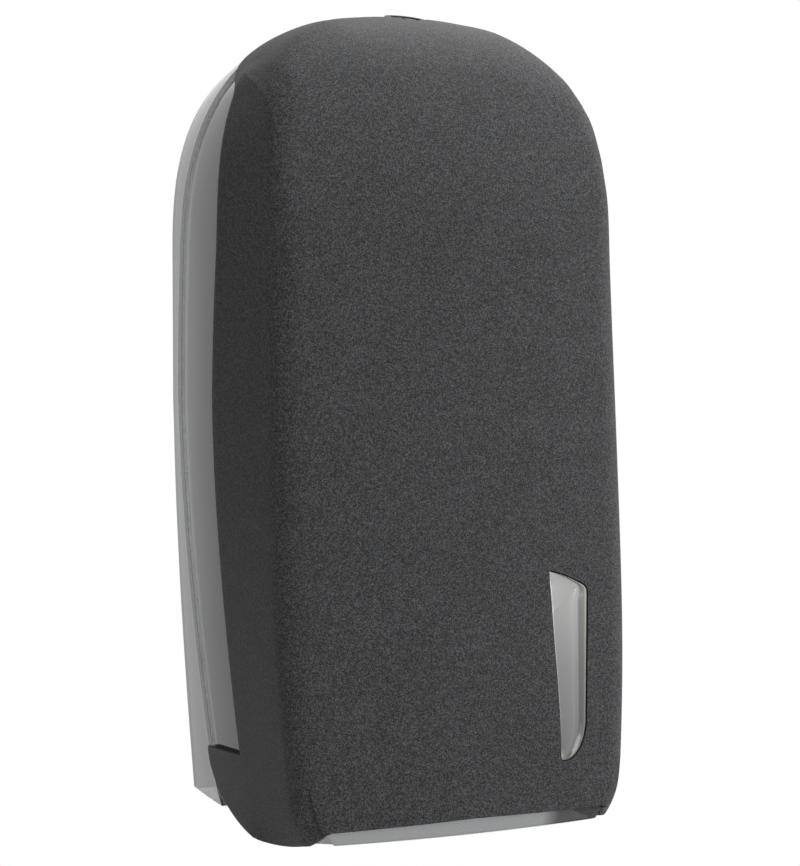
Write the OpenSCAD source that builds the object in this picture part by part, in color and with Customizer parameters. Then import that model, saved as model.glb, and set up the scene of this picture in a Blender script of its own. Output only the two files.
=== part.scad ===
// Folded toilet tissue dispenser for a wall: a smoke clear wall frame, and a
// door made of a smoke clear shell under a dark grained cover. The door is
// hinged low down at both sides and locked at the top. Folded sheets are
// drawn down through the throat in the bottom plate. Sizes in millimetres.
//
// Design frame: x to the right, y into the wall (wall plane y = 0), z up from
// the lowest point of the cover's chin. "Depth" always means -y. Everything is
// then lowered so that the origin is the middle of the four wall screws.

/* [Case] */
// widest width of the case
case_w = 156; // [140:1:190]
// overall height of the case
case_h = 307; // [290:1:370]
// depth of the front at its foot
case_d = 122; // [110:1:150]
// width of the case at its foot
base_w = 134; // [120:1:150]
// height of the widest place
wide_z = 162; // [140:1:190]
// height where the arch of the top begins
arch_z = 215; // [205:1:230]
// squareness of the arch, 2 is an ellipse
arch_p = 2.6; // [2.2:0.1:3]

/* [Front] */
// how far the front leans back for each unit of height
front_lean = 0.067; // [0.03:0.001:0.09]
// how much the front bulges from edge to middle
front_sag = 5.9; // [3:0.1:8]
// height where the front starts to roll back
roll_z = 218; // [200:1:230]
// how far the roll brings the front back at the very top
roll_drop = 27.7; // [22:0.1:34]
// half width between the creases at the foot
crease_low = 71.6; // [68:0.1:76]
// half width between the creases at the arch
crease_high = 67.4; // [60:0.1:70]
// length of the rounding on each side of a crease
crease_round = 8.9; // [6:0.1:12]

/* [Side edge] */
// depth of the side edge at the foot
edge_low = 71; // [60:1:80]
// depth of the side edge at middle height
edge_mid = 60.5; // [52:0.5:70]
// depth of the side edge at the start of the arch
edge_high = 65.7; // [56:0.1:72]
// depth of the edge at the very top
edge_top = 42; // [42:1:56]
// how much narrower the rim at the wall is, each side
rim_inset = 3.8; // [2:0.1:5]
// the same at the foot
rim_inset_low = 1.3; // [0.5:0.1:3]
// outward bulge of the sides
side_bulge = 1.1; // [0:0.1:2]

/* [Seam between frame and door] */
// depth of the seam at middle height
seam_mid = 10; // [8:0.5:16]
// depth of the seam at the foot
seam_low = 28; // [25:0.5:30]
// depth of the seam at the top
seam_top = 36; // [30:0.5:38]
// how far the frame reaches into the door
tongue_l = 22; // [16:0.5:26]
// how far the tongue is set in from the outside
tongue_inset = 7.5; // [7.5:0.1:9]
// length of the tongue at the foot
tongue_foot = 2; // [1:0.5:4]
// height over which the tongue runs out below the ledge
runout_l = 8; // [6:1:12]
// least gap between the tongue and the door over it
tongue_gap = 1; // [0.6:0.1:1.1]

/* [Chin] */
// depth of the rear edge of the chin
chin_back = 29.5; // [29:0.5:34]
// height of the rear end of the chin's ledge
chin_top = 27.4; // [25:0.1:31]
// rise of the ledge from its rear end to the side edge
ledge_rise = 2.8; // [2:0.1:5]
// how far the chin's rear corner lies below the ledge
chin_drop = 1.4; // [1:0.1:6]
// depth of the lowest point of the chin
chin_low_d = 76; // [72:1:86]
// rise of the chin's underside from there to the front
chin_rise = 4.3; // [2:0.1:8]
// how far the crease runs in at the foot
chin_toe = 9; // [4:0.5:12]
// height of the cover's front lower edge
front_foot = 11.5; // [10:0.1:14]
// height of the lower edge of the shell and of the frame
shell_foot = 5.2; // [4:0.1:8]

/* [Walls] */
// thickness of the grained cover
cover_t = 2; // [1.6:0.1:2.4]
// thickness of the clear door shell
shell_t = 2.2; // [1.8:0.1:2.4]
// gap between cover and shell
skin_gap = 0.35; // [0.3:0.05:0.5]
// thickness of the frame's side walls
frame_t = 2; // [1.6:0.1:2.6]
// thickness of the frame's back plate
plate_t = 3; // [2.6:0.1:4]
// how far the frame lies below the cover's outside
frame_off = 1; // [0.6:0.1:1.6]
// gap at the seam
seam_gap = 0.4; // [0.3:0.1:0.8]

/* [Wall screws] */
// distance of the screw holes from left to right
screw_dx = 80; // [60:1:90]
// distance of the screw holes from bottom to top
screw_dz = 160; // [120:1:170]
// height of the middle of the screw holes
screw_mid_z = 158; // [145:1:165]
// radius of a screw hole
screw_r = 2.6; // [2:0.1:3]

/* [Bottom plate] */
// height of the underside of the plate
plate_z = 13; // [12:0.5:15]
// depth of the plate's front edge
plate_d = 98; // [88:1:98]
// width of the throat
throat_w = 76; // [60:1:86]
// length of the throat from back to front
throat_l = 48; // [36:1:52]
// depth of the middle of the throat
throat_d = 53; // [48:1:56]
// height of the lip round the throat
lip_h = 4; // [2:0.5:4.5]

/* [Tissue guides] */
// width between the two guides
guide_w = 113; // [108:0.5:115]
// depth of the guides' front edge
guide_d = 86; // [70:1:88]
// lower end of the guides
guide_z0 = 42; // [38:1:50]
// upper end of the guides
guide_z1 = 205; // [180:1:210]
// thickness of a guide
guide_t = 1.6; // [1.4:0.1:2]

/* [Hinge] */
// depth of the hinge axis
hinge_d = 72; // [70:0.5:75]
// height of the hinge axis
hinge_z = 33; // [31:0.5:34]
// radius of a hinge pin
hinge_r = 3; // [2.5:0.1:3.5]
// running clearance round a hinge pin
hinge_gap = 0.06; // [0.04:0.01:0.09]
// radius of the round end of the ears that hold the pins
ear_r = 7; // [6:0.5:8]
// gap between an ear and the head of its bush
ear_gap = 0.2; // [0.1:0.05:0.5]
// thickness of the head of a hinge bush
bush_head = 2.2; // [1.5:0.1:3]
// height over which the tongue steps in above the swing of the door's foot
step_l = 30; // [20:1:40]

/* [Lock] */
// depth of the lock's face
lock_d = 60; // [57:0.5:62]
// how much more the lock leans than the cover under it
lock_lean = 4.2; // [0:0.1:8]
// how far the lock's face stands above the cover
lock_proud = 0.32; // [0:0.01:1]
// radius of the lock's collar
lock_r = 8; // [7:0.1:8.5]
// radius of the turning barrel
barrel_r = 5; // [4.5:0.1:5.4]
// running clearance round the barrel
lock_gap = 0.06; // [0.04:0.01:0.09]
// reach of the cam from the lock axis
cam_l = 20; // [18:0.5:21]
// width of the cam
cam_w = 7; // [6:0.1:8]
// how far the cam lies below the lock's face
cam_low = 18.6; // [18:0.1:20]

/* [Level window] */
// distance of the window's left foot from the middle
win_x = 36.6; // [34:0.1:38]
// height of the window's foot
win_z = 28.8; // [27:0.1:32]
// height of the window
win_h = 69.4; // [60:0.1:84]
// width of the window at its foot
win_w = 11; // [9:0.1:13.2]
// thickness of the window
win_t = 1.7; // [1.4:0.1:1.8]
// gap round the window in the cover
win_gap = 0.5; // [0.4:0.05:0.8]

/* [Cover clips] */
// height of the clips
clip_z = 67; // [60:0.5:80]
// height of one clip
clip_h = 10; // [8:0.5:12]

/* [Hidden] */
clear_smoke = [0.62, 0.63, 0.64];
dark_grain = [0.27, 0.27, 0.28];
window_grey = [0.7, 0.7, 0.71];
guide_grey = [0.82, 0.82, 0.83];
steel = [0.72, 0.73, 0.74];
black = [0.12, 0.12, 0.13];

shell_off = cover_t + skin_gap;
inner_off = shell_off + shell_t;
// the seam under the ledge is an arc round the hinge, so the chin swings free
swing_r = hinge_d - seam_low;
arch_r = case_h - arch_z;
// radius of the roll that gives that drop
roll_h = case_h - roll_z;
roll_r = (roll_h * roll_h + roll_drop * roll_drop) / 2 / roll_drop;
mid_z = 147.5;
// fasteners: where they sit and how far the nut lies under the walls
plate_screw_x = 38;
guide_screw_x = 9;
guide_screw_z = 18;
rivet_x = 23.5;
rivet_step = 11;
nut_h = 2.4;
nut_drop = 2.75;
// the chin's rise towards the front, and the round corners of the bottom plate
chin_front_l = 31;
plate_round = 20;
low_rows = 16;
fan_rows = 18;
rows = low_rows + fan_rows;
side_n = 5;
facet_n = 3;
round_n = 3;
front_n = 4;
half_n = side_n + facet_n + round_n + front_n;
wide_n = 2 * half_n;

// ---- the outside of the case as one set of formulas ----

function mix(a, b, t) = a + (b - a) * t;
function unit(t) = min(1, max(0, t));
function ease(t) = unit(t) * unit(t) * (3 - 2 * unit(t));

// half width of the widest outline at height z, below the arch
function half_w(z) = z < wide_z
    ? case_w / 2 - (case_w - base_w) / 2 * pow((wide_z - z) / wide_z, 1.46)
    : case_w / 2;

// a station is [x, z] of the outline, z of the middle it runs to, arch angle
function low_station(z) = [half_w(z), z, z, 0];
function arch_station(a) = [case_w / 2 * pow(max(0, cos(a)), 2 / arch_p),
    arch_z + arch_r * pow(sin(a), 2 / arch_p), arch_z, a];

function reach(s) = norm([s[0], s[1] - s[2]]);

// depth of the side edge at a station
function edge_d(s) = s[3] > 0 ? let (t = (s[1] - arch_z) / arch_r,
        up = 2 * (edge_high - edge_mid) / (arch_z - mid_z) * arch_r)
        edge_high + up * t + (edge_top - edge_high - up) * pow(t, 1.7)
    : s[1] < mid_z ? edge_mid + (edge_low - edge_mid) * pow((mid_z - s[1]) / mid_z, 2)
    : edge_mid + (edge_high - edge_mid) * pow((s[1] - mid_z) / (arch_z - mid_z), 2);

// inset of the side from the outline at depth d
function side_in(s, d) = let (t = unit(d / edge_d(s)),
    e = s[3] > 0 ? rim_inset : mix(rim_inset_low, rim_inset, unit(s[1] / mid_z)))
    e * (1 - t) - side_bulge * 4 * t * (1 - t);

// depth of the front face, pushed in by off
function roll(z) = min(max(0, z - roll_z), 0.98 * roll_r);
function front_d(x, z, off) = case_d - front_lean * z - front_sag * pow(x / 65, 2)
    - (roll_r - sqrt(roll_r * roll_r - roll(z) * roll(z)))
    - off * roll_r / sqrt(roll_r * roll_r - roll(z) * roll(z));

// a point of a station at fraction f of its reach and depth d
function at_f(s, f, d) = [s[0] * f, -d, s[2] + (s[1] - s[2]) * f];
function side_pt(s, d, off) = at_f(s, 1 - (side_in(s, d) + off) / reach(s), d);
function front_pt(s, f, off) = let (x = s[0] * f, z = s[2] + (s[1] - s[2]) * f)
    [x, -front_d(x, z, off), z];

// where the crease lies, as a fraction of the reach
function crease_f(s, off) = min(0.96, mix(crease_low, crease_high, unit(s[1] / arch_z)) / max(s[0], 0.01))
    - 1.1 * off / reach(s);

// half a section: node j from the rear edge (depth d0) to the middle
function section(s, off, d0, j) = let (
    pb = side_pt(s, edge_d(s), off),
    low = s[3] > 0 ? 0 : unit(1 - s[1] / chin_top),
    fc = crease_f(s, off) - chin_toe * pow(low, 3) / reach(s),
    pc = front_pt(s, fc, off),
    rr = max(2.5, crease_round + 12.8 * pow(sin(s[3]), 2) - off),
    pa = pc + (pb - pc) * min(0.45, rr * (1 + 1.1 * low) / norm(pb - pc)),
    fe = fc - rr * (1 + 0.3 * low) / reach(s),
    pe = front_pt(s, fe, off),
    pinch = 0.2 * low,
    // towards the foot the crease widens to a flat facet
    pm = mix(pc, (pa + pe) / 2, 0.95 * pow(low, 0.5)))
    j <= side_n ? side_pt(s, mix(d0, edge_d(s), j / side_n), off)
    : j <= side_n + facet_n ? mix(pb, pa, (j - side_n) / facet_n)
    : j <= side_n + facet_n + round_n ? let (
        q = j - side_n - facet_n,
        t = q == 1 ? 1 / 3 - pinch : q == 2 ? 2 / 3 + pinch : 1)
        pa * (1 - t) * (1 - t) + pm * 2 * t * (1 - t) + pe * t * t
    : front_pt(s, fe * (half_n - j) / front_n, off);

// ---- rows of the grid ----

function row_z(i) = i < 4 ? chin_top * i / 3
    : i < 8 ? chin_top + ledge_rise * (i - 3) / 4
    : mix(chin_top + ledge_rise, arch_z, (i - 7) / (low_rows - 7));
function row_station(i) = i <= low_rows ? low_station(row_z(i))
    : arch_station(90 * (i - low_rows) / fan_rows);
// the same for frame and shell, which share a level foot
function frame_z(i) = i < 4 ? mix(shell_foot, chin_top, i / 3) : row_z(i);
function frame_station(i) = i <= low_rows ? low_station(frame_z(i)) : row_station(i);

// depth of the seam
function seam_base(z) = z < wide_z
    ? seam_mid + (seam_low - seam_mid) * pow((wide_z - z) / (wide_z - chin_top), 1.5)
    : seam_mid + (seam_top - seam_mid) * pow((z - wide_z) / (case_h - wide_z), 2);
function seam_d(s) = s[3] == 0 && s[1] < chin_top
    ? hinge_d - sqrt(swing_r * swing_r - pow(s[1] - hinge_z, 2))
    : seam_base(s[1]);

// depth of the rear edge of cover and shell
function cover_back(i) = let (s = row_station(i))
    i < 8 ? mix(chin_back, edge_d(s) - 1, max(0, i - 3) / 4)
    : mix(edge_d(s) - 1, seam_base(s[1]) + seam_gap, ease((s[3] - 32) / 22));
function shell_back(i) = seam_d(frame_station(i)) + seam_gap;

// height of the lower edge of cover and shell at depth d
function chin_z(d) = d < chin_low_d
    ? (chin_top - chin_drop)
        * pow(1 - sqrt(max(0, 1 - pow((chin_low_d - d) / (chin_low_d - chin_back), 2))), 0.8)
    : min(front_foot - 1, chin_rise * pow((d - chin_low_d) / chin_front_l, 2));
function cover_foot(j, d) = let (k = side_n + facet_n)
    j <= k ? chin_z(d) : mix(chin_z(chin_low_d + 18), front_foot, unit((j - k) / round_n));

// one point of the cover's or the shell's sheets
function skin_pt(i, j, off, d0, kind) = let (s = row_station(i), p = section(s, off, d0, j))
    i >= 4 ? p : let (
        foot = kind == 0 ? cover_foot(j, -p[1]) : shell_foot,
        z = mix(foot, chin_top, i / 3))
        section(low_station(z), off, d0, j);

function cover_pt(i, j, off) = skin_pt(i, j, off, cover_back(i), 0);
// towards the foot the shell stands off a little more, clear of the facets
function shell_pt(i, j, off) = skin_pt(i, j, off + 0.2 * max(0, 3 - i), shell_back(i), 1);

// ---- closing two sheets to one solid ----

function both(p, side) = [p[0] * side, p[1], p[2]];
function spot(i, j, w) = j == w / 2 && i > low_rows ? low_rows * (w + 1) + w / 2
    : i == rows && j > w / 2 ? i * (w + 1) + w - j
    : i * (w + 1) + j;
function quad(a, b, c, d) = [for (t = [[a, b, c], [a, c, d]])
    if (t[0] != t[1] && t[1] != t[2] && t[0] != t[2]) t];
function flat(l) = [for (a = l) for (b = a) b];

module two_sheets(outer, inner, w) {
    n = (rows + 1) * (w + 1);
    skin = flat([for (i = [0 : rows - 1]) for (j = [0 : w - 1])
        quad(spot(i, j, w), spot(i + 1, j, w), spot(i + 1, j + 1, w), spot(i, j + 1, w))]);
    back = [for (t = skin) [t[2] + n, t[1] + n, t[0] + n]];
    foot = flat([for (j = [0 : w - 1])
        quad(spot(0, j, w), spot(0, j + 1, w), spot(0, j + 1, w) + n, spot(0, j, w) + n)]);
    left = flat([for (i = [0 : rows - 1])
        quad(spot(i, 0, w), spot(i, 0, w) + n, spot(i + 1, 0, w) + n, spot(i + 1, 0, w))]);
    right = flat([for (i = [0 : rows - 1])
        quad(spot(i, w, w), spot(i + 1, w, w), spot(i + 1, w, w) + n, spot(i, w, w) + n)]);
    polyhedron(concat(outer, inner), concat(skin, back, foot, left, right), convexity = 10);
}

// ---- shared places ----

module placed() {
    translate([0, 0, -screw_mid_z]) children();
}

module mirrored(side) {
    mirror([side < 0 ? 1 : 0, 0, 0]) children();
}

// the lock's own frame: origin on its face, z out along its axis, on the line along the case's top
top_line = [for (j = [0 : half_n]) let (p = section(arch_station(90), 0, 0, j)) [-p[1], p[2]]];
lock_z = lookup(lock_d, top_line) + lock_proud;
lock_tilt = atan((lookup(lock_d - 10, top_line) - lookup(lock_d + 10, top_line)) / 20) + lock_lean;
module at_lock() {
    translate([0, -lock_d, lock_z]) rotate([lock_tilt, 0, 0]) children();
}

// half width of the case at height z and depth d
function side_x(z, d) = half_w(z) - side_in(low_station(z), d);
// the same where the wall may already run in to the crease
function wall_x(z, d) = let (s = low_station(z), e = edge_d(s), pc = front_pt(s, crease_f(s, 0), 0))
    d < e ? side_x(z, d) : mix(half_w(z), pc[0], (d - e) / (-pc[1] - e));
// half width to the outer face of a hinge bush's head, and to the inner face of the ear beside it
bush_x = wall_x(hinge_z - hinge_r - 5, hinge_d + hinge_r + 5) - inner_off - 0.25;
ear_x = bush_x - bush_head - ear_gap - frame_t;
// how far the tongue steps in beside the hinge, where the narrow foot of the door swings past it
function tongue_step(s) = s[3] > 0 ? 0
    : max(0, side_x(s[1], seam_d(s)) - tongue_inset - ear_x - frame_t)
    * ease((hinge_z + swing_r + step_l - s[1]) / step_l);
// half width inside the tongue at height z
function tongue_in(z) = side_x(z, seam_d(low_station(z))) - tongue_inset - frame_t
    - tongue_step(low_station(z));

// ---- parts fixed to the wall ----

// length of the tongue: under the ledge it runs out, clear of the foot of the open door
function tongue_len(s) = s[3] > 0 ? tongue_l
    : mix(tongue_foot, tongue_l, pow(unit((s[1] - chin_top + runout_l) / (ledge_rise + runout_l)), 2));
// the door's inner face as a fraction of the reach, at a depth past the side edge
function inner_f(s, d) = let (e = edge_d(s), fc = crease_f(s, inner_off), pc = front_pt(s, fc, inner_off))
    d < e ? 1 : mix(1 - inner_off / reach(s), fc, (d - e) / (-pc[1] - e));
// the tongue's place as a fraction of the reach, deeper millimetres inside its outer face
function tongue_f(s, deeper) = let (d = seam_d(s))
    min(1 - (side_in(s, d) + tongue_inset + tongue_step(s)) / reach(s),
        inner_f(s, d + tongue_len(s)) - tongue_gap / reach(s)) - deeper / reach(s);
function frame_outer(s, j) = let (d = seam_d(s), f = tongue_f(s, 0))
    j == 0 ? at_f(s, f, d + tongue_len(s))
    : j == 1 ? at_f(s, f, d)
    : j == 2 ? side_pt(s, d, frame_off)
    : j == 3 ? side_pt(s, d / 2, frame_off)
    : j == 4 ? side_pt(s, 0, frame_off)
    : at_f(s, 0, 0);
function frame_inner(s, j) = let (d = seam_d(s), f = tongue_f(s, frame_t))
    j == 0 ? at_f(s, f, d + tongue_len(s))
    : j == 1 ? at_f(s, f, d - frame_t)
    : j == 2 ? side_pt(s, d - frame_t, frame_off + frame_t)
    : j == 3 ? side_pt(s, mix(plate_t, d - frame_t, 0.5), frame_off + frame_t)
    : j == 4 ? side_pt(s, plate_t, frame_off + frame_t)
    : at_f(s, 0, plate_t);

module frame_body() {
    outer = [for (i = [0 : rows]) for (j = [0 : 10]) let (s = frame_station(i))
        j <= 5 ? both(frame_outer(s, j), -1) : frame_outer(s, 10 - j)];
    inner = [for (i = [0 : rows]) for (j = [0 : 10]) let (s = frame_station(i))
        j <= 5 ? both(frame_inner(s, j), -1) : frame_inner(s, 10 - j)];
    two_sheets(inner, outer, 10);
}

// ears that run forward from the tongue to the hinge pins
module hinge_ears() {
    ear_start = seam_low + 8;
    // a root as wide as it takes to reach from the tongue to the ear
    root_x = min(ear_x, tongue_in(hinge_z));
    root_w = max(ear_x, tongue_in(hinge_z)) + frame_t - root_x;
    for (x = [-1, 1])
        mirrored(x) {
            translate([ear_x, 0, 0]) rotate([90, 0, 90]) linear_extrude(frame_t)
            union() {
                translate([-hinge_d, hinge_z - ear_r]) square([hinge_d - ear_start, 2 * ear_r]);
                translate([-hinge_d, hinge_z]) circle(r = ear_r, $fn = 64);
            }
            translate([root_x, -seam_low - tongue_l + 2, hinge_z - ear_r])
                cube([root_w, tongue_l - 10, 2 * ear_r]);
        }
}

module back_frame() {
    color(clear_smoke)
    placed()
    difference() {
        union() {
            frame_body();
            hinge_ears();
        }
        // wall screw holes
        for (x = [-1, 1], z = [-1, 1])
            translate([x * screw_dx / 2, 1, screw_mid_z + z * screw_dz / 2])
                rotate([90, 0, 0]) cylinder(r = screw_r, h = plate_t + 2, $fn = 48);
        // seats of the bottom plate's screws
        for (x = [-1, 1])
            translate([x * plate_screw_x, -plate_t - 1, plate_z + 11])
                rotate([-90, 0, 0]) cylinder(r = 1.7, h = 3.2, $fn = 32);
        // seats of the guide screws
        for (x = [-1, 1], z = [guide_z0 + guide_screw_z, guide_z1 - guide_screw_z])
            translate([x * (guide_w / 2 - guide_screw_x), -plate_t - 1, z])
                rotate([-90, 0, 0]) cylinder(r = 1.7, h = 3.2, $fn = 32);
        // hinge pin holes
        for (x = [-1, 1])
            translate([x * (ear_x - 4), -hinge_d, hinge_z])
                rotate([0, x * 90, 0]) cylinder(r = hinge_r + 0.25, h = 10, $fn = 48);
        // notch for the lock in the top of the tongue
        translate([-14, -seam_top - tongue_l - 4, arch_z + arch_r - 20])
            cube([28, tongue_l + 4 - 10, 16]);
        // keeper rivet holes
        for (y = [0, 1])
            translate([rivet_x, -seam_top - 5.5 - rivet_step * y, arch_z + arch_r - 20])
                cylinder(r = 1.5, h = 16, $fn = 32);
    }
}

module throat_shape(w, l, r) {
    hull_x = w / 2 - r;
    hull_y = l / 2 - r;
    union() {
        square([w - 2 * r, l], center = true);
        square([w, l - 2 * r], center = true);
        for (x = [-1, 1], y = [-1, 1])
            translate([x * hull_x, y * hull_y]) circle(r = r, $fn = 48);
    }
}

module throat_plate() {
    hw = tongue_in(plate_z) - 0.3;
    color(clear_smoke)
    placed() {
        difference() {
            union() {
                // the plate with two round front corners
                translate([0, 0, plate_z])
                linear_extrude(3)
                union() {
                    translate([-hw, -plate_d + plate_round])
                        square([2 * hw, plate_d - plate_round - plate_t - 0.2]);
                    translate([-hw + plate_round, -plate_d])
                        square([2 * (hw - plate_round), plate_round + 1]);
                    for (x = [-1, 1])
                        translate([x * (hw - plate_round), -plate_d + plate_round])
                            circle(r = plate_round, $fn = 64);
                }
                // flange against the back plate
                translate([-48, -plate_t - 3.2, plate_z]) cube([96, 3, 18]);
                // lip round the throat
                translate([0, -throat_d, plate_z - lip_h])
                linear_extrude(lip_h + 1) throat_shape(throat_w + 4, throat_l + 4, 16);
            }
            translate([0, -throat_d, plate_z - lip_h - 1])
            linear_extrude(lip_h + 6) throat_shape(throat_w, throat_l, 14);
            for (x = [-1, 1])
                translate([x * plate_screw_x, 0, plate_z + 11])
                    rotate([90, 0, 0]) cylinder(r = 1.9, h = 12, $fn = 32);
        }
    }
}

// a pan head screw along -y, its head's underside at depth d
module pan_screw(d, reach_in, head_r) {
    translate([0, -d, 0]) rotate([90, 0, 0]) {
        difference() {
            cylinder(r = head_r, h = 1.8, $fn = 40);
            translate([-head_r * 0.6, -0.35, 1]) cube([head_r * 1.2, 0.7, 2]);
            translate([-0.35, -head_r * 0.6, 1]) cube([0.7, head_r * 1.2, 2]);
        }
        translate([0, 0, -reach_in]) cylinder(r = 1.45, h = reach_in + 0.2, $fn = 32);
    }
}

module throat_screws() {
    color(steel)
    placed()
    for (x = [-1, 1])
        translate([x * plate_screw_x, 0, plate_z + 11]) pan_screw(plate_t + 3.3, 5, 3);
}

module tissue_guide(side) {
    color(guide_grey)
    placed()
    mirrored(side)
    difference() {
        union() {
            translate([guide_w / 2, -guide_d, guide_z0])
                cube([guide_t, guide_d - plate_t - 0.2, guide_z1 - guide_z0]);
            translate([guide_w / 2 - 18, -plate_t - 2, guide_z0])
                cube([18.5, 1.8, guide_z1 - guide_z0]);
        }
        // relief at the lower front corner
        translate([guide_w / 2 - 1, -guide_d - 1, guide_z0 - 1]) rotate([-90, 0, -90])
            linear_extrude(4 + guide_t) polygon([[0, 0], [0, -30], [30, 0]]);
        for (z = [guide_z0 + guide_screw_z, guide_z1 - guide_screw_z])
            translate([guide_w / 2 - guide_screw_x, 0, z])
                rotate([90, 0, 0]) cylinder(r = 1.9, h = 12, $fn = 32);
    }
}

module tissue_guide_left() {
    tissue_guide(-1);
}

module tissue_guide_right() {
    tissue_guide(1);
}

module guide_screws() {
    color(steel)
    placed()
    for (x = [-1, 1], z = [guide_z0 + guide_screw_z, guide_z1 - guide_screw_z])
        translate([x * (guide_w / 2 - guide_screw_x), 0, z]) pan_screw(plate_t + 2.1, 3.8, 3);
}

// underside of the frame's tongue above the keeper
keeper_z = arch_z + arch_r * pow(1 - pow(29 / (case_w / 2), arch_p), 1 / arch_p)
    - tongue_inset - frame_t - 0.9;
keeper_y = lock_d - (cam_low + 1) * sin(lock_tilt) + cam_w / 2 + 1.2;

module lock_keeper() {
    color(steel)
    placed()
    difference() {
        union() {
            translate([17, -keeper_y - 2, keeper_z - 1.8]) cube([12, keeper_y + 2 - seam_top - 1, 1.8]);
            translate([12.5, -keeper_y - 2, keeper_z - 14]) cube([14, 2, 14]);
        }
        for (y = [0, 1])
            translate([rivet_x, -seam_top - 5.5 - rivet_step * y, keeper_z - 5])
                cylinder(r = 1.5, h = 10, $fn = 32);
    }
}

module keeper_rivets() {
    color(steel)
    placed()
    for (y = [0, 1])
        translate([rivet_x, -seam_top - 5.5 - rivet_step * y, keeper_z]) {
            translate([0, 0, -3.2]) cylinder(r = 2.7, h = 1.2, $fn = 32);
            translate([0, 0, -2.2]) cylinder(r = 1.3, h = 5.2, $fn = 32);
        }
}

// hinge pin along +x, from inside the frame into the door
module hinge_pin(side) {
    xi = ear_x;
    xo = wall_x(hinge_z, hinge_d + hinge_r) - shell_off - 0.3;
    color(steel)
    placed()
    mirrored(side)
    translate([0, -hinge_d, hinge_z]) rotate([0, 90, 0]) {
        translate([0, 0, xi - 2.4]) cylinder(r = hinge_r + 2, h = 1.7, $fn = 48);
        translate([0, 0, xi - 1]) cylinder(r = hinge_r, h = xo - xi + 1, $fn = 64);
    }
}

module hinge_pin_left() {
    hinge_pin(-1);
}

module hinge_pin_right() {
    hinge_pin(1);
}

// ---- parts of the door ----

// places of the cover screws, [x, z]
cover_screw_at = [[-50, 118], [50, 118], [-46, 204], [46, 204]];

module lock_hole() {
    at_lock() translate([0, 0, -14]) cylinder(r = lock_r + 0.3, h = 24, $fn = 64);
}

module door_shell() {
    color(clear_smoke)
    placed()
    difference() {
        two_sheets(
            [for (i = [0 : rows]) for (j = [0 : wide_n])
                j <= half_n ? both(shell_pt(i, j, shell_off), -1) : shell_pt(i, wide_n - j, shell_off)],
            [for (i = [0 : rows]) for (j = [0 : wide_n])
                j <= half_n ? both(shell_pt(i, j, inner_off), -1) : shell_pt(i, wide_n - j, inner_off)],
            wide_n);
        lock_hole();
        // hinge bush holes
        for (x = [-1, 1])
            translate([x * (wall_x(hinge_z, hinge_d) - inner_off - 4), -hinge_d, hinge_z])
                rotate([0, x * 90, 0]) cylinder(r = hinge_r + 2.25, h = 10, $fn = 48);
        // clip peg holes
        for (x = [-1, 1])
            translate([x * (side_x(clip_z, edge_mid) - inner_off - 4), -clip_d, clip_z])
                rotate([0, x * 90, 0]) cylinder(r = 2.3, h = 10, $fn = 40);
        // cover screw holes
        for (p = cover_screw_at)
            translate([p[0], -case_d - 5, p[1]])
                rotate([-90, 0, 0]) cylinder(r = 1.8, h = 40, $fn = 32);
    }
}

// outline of the level window seen from the front, grown by g
function win_poly(g) = let (x0 = win_x, z0 = win_z, w = win_w, h = win_h)
    [[x0 - 0.1 - g, z0 + 1.1 - g], [x0 + 1.1 - g / 2, z0 - g], [x0 + 4 + g / 4, z0 + 0.6 - g],
     [x0 + 6.4 + g / 2, z0 + 2 - g], [x0 + w - 1.6 + g, z0 + 6.2 - g / 2], [x0 + w + g, z0 + 11.3],
     [x0 + w + 2.4 + g, z0 + h - 7.7], [x0 + w + 1 + g, z0 + h - 6 + g], [x0 - 3.1 - g, z0 + h + 1.2 * g],
     [x0 - 1.5 - g, z0 + h - 26.4], [x0 - g, z0 + 15.7]];

module front_cover() {
    color(dark_grain)
    placed()
    difference() {
        two_sheets(
            [for (i = [0 : rows]) for (j = [0 : wide_n])
                j <= half_n ? both(cover_pt(i, j, 0), -1) : cover_pt(i, wide_n - j, 0)],
            [for (i = [0 : rows]) for (j = [0 : wide_n])
                j <= half_n ? both(cover_pt(i, j, cover_t), -1) : cover_pt(i, wide_n - j, cover_t)],
            wide_n);
        lock_hole();
        // opening for the level window
        translate([0, -case_d * 0.75, 0]) rotate([90, 0, 0])
            linear_extrude(case_d) polygon(win_poly(win_gap));
        // blind seats of the cover screws
        for (p = cover_screw_at)
            translate([p[0], -front_d(p[0], p[1], cover_t - 1), p[1]])
                rotate([-90, 0, 0]) cylinder(r = 1.7, h = 20, $fn = 32);
    }
}

module level_window() {
    cx = win_x + win_w / 2;
    cz = win_z + win_h / 2;
    turn = atan(2 * front_sag * cx / 65 / 65);
    lean = atan(front_lean);
    color(window_grey)
    placed()
    translate([cx, -front_d(cx, cz, 0.3), cz]) rotate([-lean, 0, turn]) translate([-cx, win_t, -cz])
        rotate([90, 0, 0]) linear_extrude(win_t) polygon(win_poly(0));
}

// depth of the clip's peg, under the edge of the cover
clip_d = edge_mid + 10;

module cover_clip(side) {
    low = clip_z - clip_h / 2;
    xi = side_x(low, edge_mid) - inner_off;
    // the front leaf lies further in, clear of the wall that runs in to the crease
    xf = min(xi - 3.4, wall_x(low, clip_d + 4) - inner_off - 2.75);
    color(guide_grey)
    placed()
    mirrored(side)
    translate([0, 0, clip_z]) {
        translate([xi - 1.9, -edge_mid - 2, -clip_h / 2]) cube([1.5, 22, clip_h]);
        translate([xf, -edge_mid - 2, -clip_h / 2]) cube([xi - 0.4 - xf, 2, clip_h]);
        translate([xf, -clip_d - 4, -clip_h / 2]) cube([1.55, clip_d + 4 - edge_mid, clip_h]);
        translate([xf + 1, -clip_d, 0]) rotate([0, 90, 0]) cylinder(r = 2, h = shell_t + 1.5, $fn = 40);
    }
}

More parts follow.
